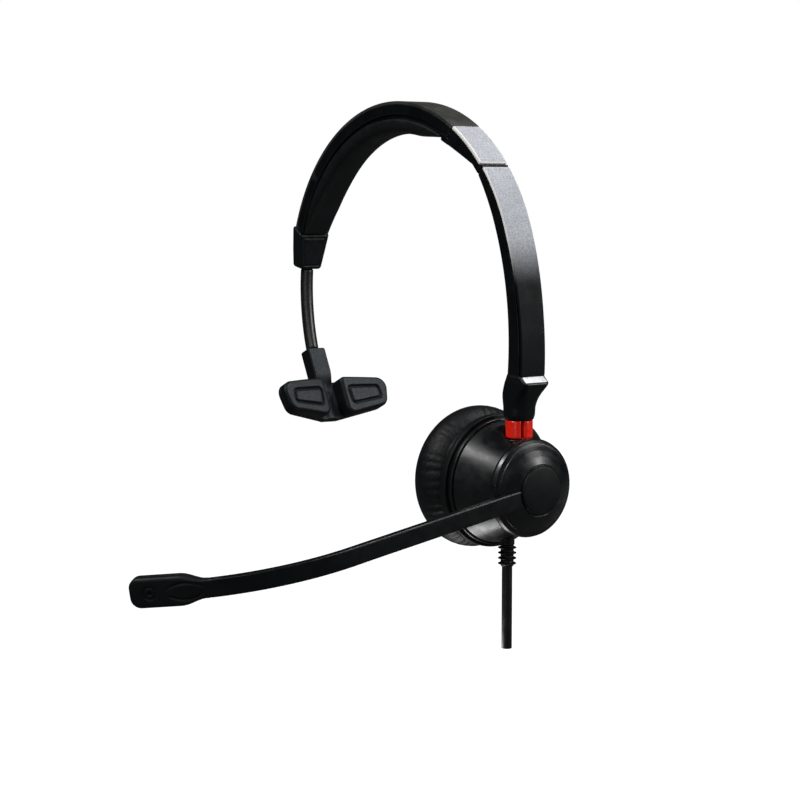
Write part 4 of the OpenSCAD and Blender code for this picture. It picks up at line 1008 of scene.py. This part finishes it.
def mic_pieces():
    """Two shells of the capsule: a paddle with a port ring and two leaf-shaped lines."""
    outline = [(MIC_START, -MIC_NECK), (MIC_START, MIC_NECK)]
    outline += [(x, MIC_NECK + 2.15 * (1 - math.cos(math.pi * (x - 0.35) / 9.65)) / 2)
                for x in (1.5, 2.7, 4, 5.2, 6.5, 7.8, 9, 10)]
    outline += [(MIC_L - 3.8 + 3.8 * math.sin(math.radians(t)), 1.7 + 3.8 * math.cos(math.radians(t)))
                for t in range(0, 91, 10)]
    outline += [(x, -y) for x, y in outline[:1:-1]]
    outline = outline[1:] + outline[:1]
    port = MIC_L - 7.5

    def carved(a, b, d):
        ring = 0.34 * math.exp(-((math.hypot(a - port, b) - 2.2) / 0.3) ** 2)
        hole = 0.9 * math.exp(-(math.hypot(a - port, b) / 0.65) ** 4)
        fade_in = clamp((a - 1.0) / 2.5) * clamp((14.6 - a) / 2.5)
        leaf = 0.5 + 2.5 * math.sin(math.pi * clamp((a - 0.5) / 14.5)) ** 0.8
        lines = 0.5 * fade_in * math.exp(-((abs(b) - leaf) / 0.34) ** 2)
        return ring + hole + lines

    def plain(a, b, d):
        hole = 0.9 * math.exp(-(math.hypot(a - port, b) / 0.8) ** 4)
        recess = 0.75 * math.exp(-(math.hypot(a - 9.5, b) / 1.1) ** 8)
        return hole + recess

    def front(a, b):
        rise = smooth((a - MIC_START) / 8)
        return 1.52 + rise * (1.03 + 0.12 * math.cos(min(1.0, abs(b) / 5.5) * math.pi / 2))

    def edge(a):
        """Radius of the capsule's edge, which starts as the strap's and grows."""
        return 0.6 + 0.7 * clamp(a / 6)
    stand_in(plate("mic_shell_outer_look", outline, MIC, look("mic_shell_outer"), front, lambda a, b: 0.03,
                   edge, 0.1, carved, 150, 84, True), "mic_shell_outer")
    stand_in(plate("mic_shell_inner_look", outline, MIC @ Matrix.Scale(-1, 4, (0, 0, 1)),
                   look("mic_shell_inner"), front, lambda a, b: 0.03, edge, 0.1, plain, 100, 60, True),
             "mic_shell_inner")


# ---- Temple rest ----

ROD_EXIT = -84.5
ROD_BEND_R = 85.0
ROD_L = 35.1
ROD_P = on_arc(CROWN_C, ROD_R, ROD_EXIT)
ROD_C = tuple(p - ROD_BEND_R * d for p, d in zip(ROD_P, turn_dir(ROD_EXIT)))
ROD_END = ROD_EXIT - math.degrees(ROD_L / ROD_BEND_R)
REST = (band_place(ROD_C, ROD_BEND_R, ROD_END) @ Matrix.Rotation(math.radians(-8), 4, "Y")
        @ Matrix.Rotation(math.radians(-3), 4, "Z"))


def rod_piece():
    unit = circle(1, 32)

    def loops_for(centre, radius, turns, sizes):
        out = []
        for turn, size in zip(turns, sizes):
            (px, pz), (nx, nz) = on_arc(centre, radius, turn), turn_dir(turn)
            out.append([(px + n * size * nx, y * size, pz + n * size * nz) for n, y in unit])
        return out
    core = loops_for(CROWN_C, ROD_R, [-60 - 24.8 * k / 30 for k in range(31)], [1.5] * 31)
    lengths = [0, 0.1, 0.3, 0.6] + [0.6 + 33.9 * k / 40 for k in range(1, 40)] + [34.5, 34.8, 35.0, ROD_L]
    sizes = [2.0, 2.4, 2.6, 2.7] + [2.7] * 39 + [2.7, 2.6, 2.4, 2.0]
    jacket = loops_for(ROD_C, ROD_BEND_R, [ROD_EXIT - math.degrees(s / ROD_BEND_R) for s in lengths], sizes)
    end = [[REST @ Vector((1.5 * x, 1.5 * y, z)) for x, y in unit] for z in (-0.5, 4, 9.5)]
    stand_in(skins("temple_rod_look", [core, jacket, end], look("temple_rod")), "temple_rod")


def rest_loop(start):
    """Outline of one side of the rest in (across, down), from the start outwards."""
    return hull_loop([(start + 2.5, 18.5, 2.5), (REST_OUT - 4.8, 22.2, 4.8),
                      (REST_OUT - 5.4, 26.4, 4.4), (start + 3.5, 29.5, 3.5)], 8)


def rest_pieces():
    end_x = -7.6 - REST_SPREAD * REST_OUT
    body_stem = []
    for z, inset in [(0.5 + s, i) for s, i in end_steps(32.3, 0.7, 44)]:
        sec = rrect(-3.2 + 2.3 * smooth((z - 11) / 9), 3.2, 4.5, 0.8, 0.8, 5)
        body_stem.append([(x, y, z) for x, y in shrink(sec, inset)])
    stem = skins("rest_body_look", [body_stem], FINISH["rest_shell"], REST)
    bore = [[(x, y, z) for x, y in circle(1.62, 32)] for z in (-2, 10.2)]
    hollow = skins("hollow", [bore], FINISH["rest_shell"], REST)
    cut_out(stem, hollow)
    groove_mid = fillet([(7.2, 20.9), (22.0, 21.7), (22.7, 26.9), (7.9, 28.6)], 1.7, 5)

    def wing_front(a, b):
        return 0.9 + max(0, a - 3.2) * (-(end_x + 3.4) - 0.9) / 25

    def wing_back(a, b):
        return -3.2 + max(0, a - 3.2) * (-(end_x + 6) + 3.2) / 25

    def groove(a, b, d):
        near = edge_distance(groove_mid, a, b) if d > 1.8 else 9
        return 0.9 * math.exp(-(near / 0.6) ** 4)

    def face(a, b):
        return 7.6 + REST_SPREAD * a + 0.25 * math.sin(math.pi * clamp((a - 3.2) / 24))
    wings = []
    for side, node in ((-1, "rest_pad_front"), (1, "rest_pad_rear")):
        place = REST @ Matrix(((0, 0, -1, 0), (side, 0, 0, 0), (0, 1, 0, 0), (0, 0, 0, 1)))
        wings.append(plate("wing", rest_loop(0), place, FINISH["rest_shell"], wing_front, wing_back,
                           0.3, 1.3, None, 50, 30))
        pad = plate(node + "_look", rest_loop(4.4), place, FINISH["rest_face"], face,
                    lambda a, b: wing_front(a, b) + 0.05, 1.6, 0.15, groove, 120, 84)
        back = place.inverted()
        # Painted shade in the groove: darkness near the groove line, kept for the rest material.
        shade = pad.data.attributes.new("dark", "FLOAT", "POINT")
        for v in pad.data.vertices:
            p = back @ (v.co / MM)
            shade.data[v.index].value = math.exp(-(edge_distance(groove_mid, p.x, p.y) / 0.62) ** 6)
        stand_in(pad, node)
    joined(stem, *wings)
    stand_in(stem, "rest_body")


def rest_material(name):
    """Grey grained face towards the head, black on the sides, with painted shade in the groove."""
    mat = finish_material(name, REST_GREY, 0.5, spec=0.2, grain=(2600, 0.45), vary=0.15, speckle=0.3)
    tree = mat.node_tree
    bsdf = tree.nodes["Principled BSDF"]
    coord = tree.nodes.new("ShaderNodeTexCoord")
    facing = along(tree, coord, "Normal", -(REST.to_3x3() @ Vector((1, 0, 0))))
    # The groove's painted shade turns the face black along the groove.
    groove = tree.nodes.new("ShaderNodeAttribute")
    groove.attribute_name = "dark"
    face_only = tree.nodes.new("ShaderNodeMath")
    face_only.operation = "SUBTRACT"
    face_only.use_clamp = True
    link(tree, remap(tree, facing, "Value", 0, 1, 0.935, 0.98), "Result", face_only, 0)
    link(tree, groove, "Fac", face_only, 1)
    grained = bsdf.inputs["Base Color"].links[0].from_node
    link(tree, mixed(tree, face_only, BLACK, grained), "Color", bsdf, "Base Color")
    return mat


FINISH["rest_face"] = rest_material("rest_face_and_sides")
FINISH["rest_shell"] = rest_material("rest_shell_and_sides")


# ---- Hidden pieces keep their CAD form with a finish of their own ----

def dress_hidden():
    for name, obj in frame["nodes"].items():
        obj.data.materials.clear()
        obj.data.materials.append(look(name))


# ---- Studio ----

def softbox(name, spot, aim, size, power, tint=(1, 1, 1)):
    data = bpy.data.lights.new(name, "AREA")
    data.shape = "RECTANGLE"
    data.size, data.size_y = size
    data.energy = power
    data.color = tint
    obj = bpy.data.objects.new(name, data)
    obj.location = spot
    obj.rotation_euler = (Vector(aim) - Vector(spot)).to_track_quat("-Z", "Y").to_euler()
    obj.visible_camera = False
    bpy.context.collection.objects.link(obj)


def studio():
    scene = bpy.context.scene
    scene.view_settings.view_transform = "Standard"
    world = bpy.data.worlds.new("studio")
    scene.world = world
    world.use_nodes = True
    tree = world.node_tree
    tree.nodes.clear()
    out = tree.nodes.new("ShaderNodeOutputWorld")
    rays = tree.nodes.new("ShaderNodeLightPath")
    mix = tree.nodes.new("ShaderNodeMixShader")
    dim = tree.nodes.new("ShaderNodeBackground")
    dim.inputs["Color"].default_value = (0.9, 0.95, 1.0, 1)
    dim.inputs["Strength"].default_value = 0.012
    white = tree.nodes.new("ShaderNodeBackground")
    white.inputs["Color"].default_value = (1, 1, 1, 1)
    link(tree, rays, "Is Camera Ray", mix, "Fac")
    link(tree, dim, "Background", mix, 1)
    link(tree, white, "Background", mix, 2)
    link(tree, mix, "Shader", out, "Surface")

    bm = bmesh.new()
    floor_z = CAD_BOX[0][2] - 0.012
    corners = [bm.verts.new((x, y, floor_z)) for x, y in ((-3, -3), (3, -3), (3, 3), (-3, 3))]
    bm.faces.new(corners)
    mesh = bpy.data.meshes.new("floor")
    bm.to_mesh(mesh)
    bm.free()
    floor = bpy.data.objects.new("floor", mesh)
    bpy.context.collection.objects.link(floor)
    mat, tree, bsdf = nodes_of("pale_floor")
    bsdf.inputs["Base Color"].default_value = (0.1, 0.1, 0.1, 1)
    bsdf.inputs["Roughness"].default_value = 0.9
    bsdf.inputs["Specular IOR Level"].default_value = 0.0
    bsdf.inputs["Emission Color"].default_value = (1, 1, 1, 1)
    glow = tree.nodes.new("ShaderNodeLightPath")
    level = remap(tree, glow, "Is Camera Ray", 0.0, 1.0, 0, 1)
    link(tree, level, "Result", bsdf, "Emission Strength")
    mesh.materials.append(mat)

    azimuth, elevation, distance = math.radians(54), math.radians(6), 0.8
    back = Vector((math.sin(azimuth) * math.cos(elevation), -math.cos(azimuth) * math.cos(elevation),
                   math.sin(elevation)))
    right = Vector((math.cos(azimuth), math.sin(azimuth), 0))
    up = back.cross(right)
    target = Vector((-0.041, 0, 0.025))
    cam = bpy.data.objects.new("camera", bpy.data.cameras.new("camera"))
    cam.data.sensor_width = 36
    cam.data.lens = 88.2
    cam.data.clip_start = 0.01
    cam.location = target + back * distance
    cam.rotation_euler = (-back).to_track_quat("-Z", "Y").to_euler()
    bpy.context.collection.objects.link(cam)
    scene.camera = cam

    def spot(r, u, b):
        return target + right * r + up * u + back * b
    softbox("key", spot(-0.6, 0.75, 0.35), target, (0.3, 0.22), 6)
    softbox("top", spot(0.4, 0.85, 0.1), target, (0.3, 0.22), 4.5)
    softbox("side", spot(0.85, 0.3, 0.3), target, (0.16, 0.5), 3.8)
    softbox("fill", spot(-0.15, 0.4, 1.1), target, (0.3, 0.2), 1.3)
    softbox("edge", spot(-0.55, 0.0, 0.9), spot(-0.1, -0.02, 0), (0.06, 0.5), 0.8)
    low = Vector((0.008, -0.016, floor_z + 0.006))
    softbox("kicker", low, low + Vector((0.1, 0, 1)), (0.022, 0.03), 0.018)


dress_hidden()
band_pieces()
sleeve_pieces()
clip_pieces()
arm_pieces()
collar_pieces()
cup_pieces()
cushion_piece()
cable_pieces()
hub_pieces()
strap_piece()
mic_pieces()
rod_piece()
rest_pieces()
studio()
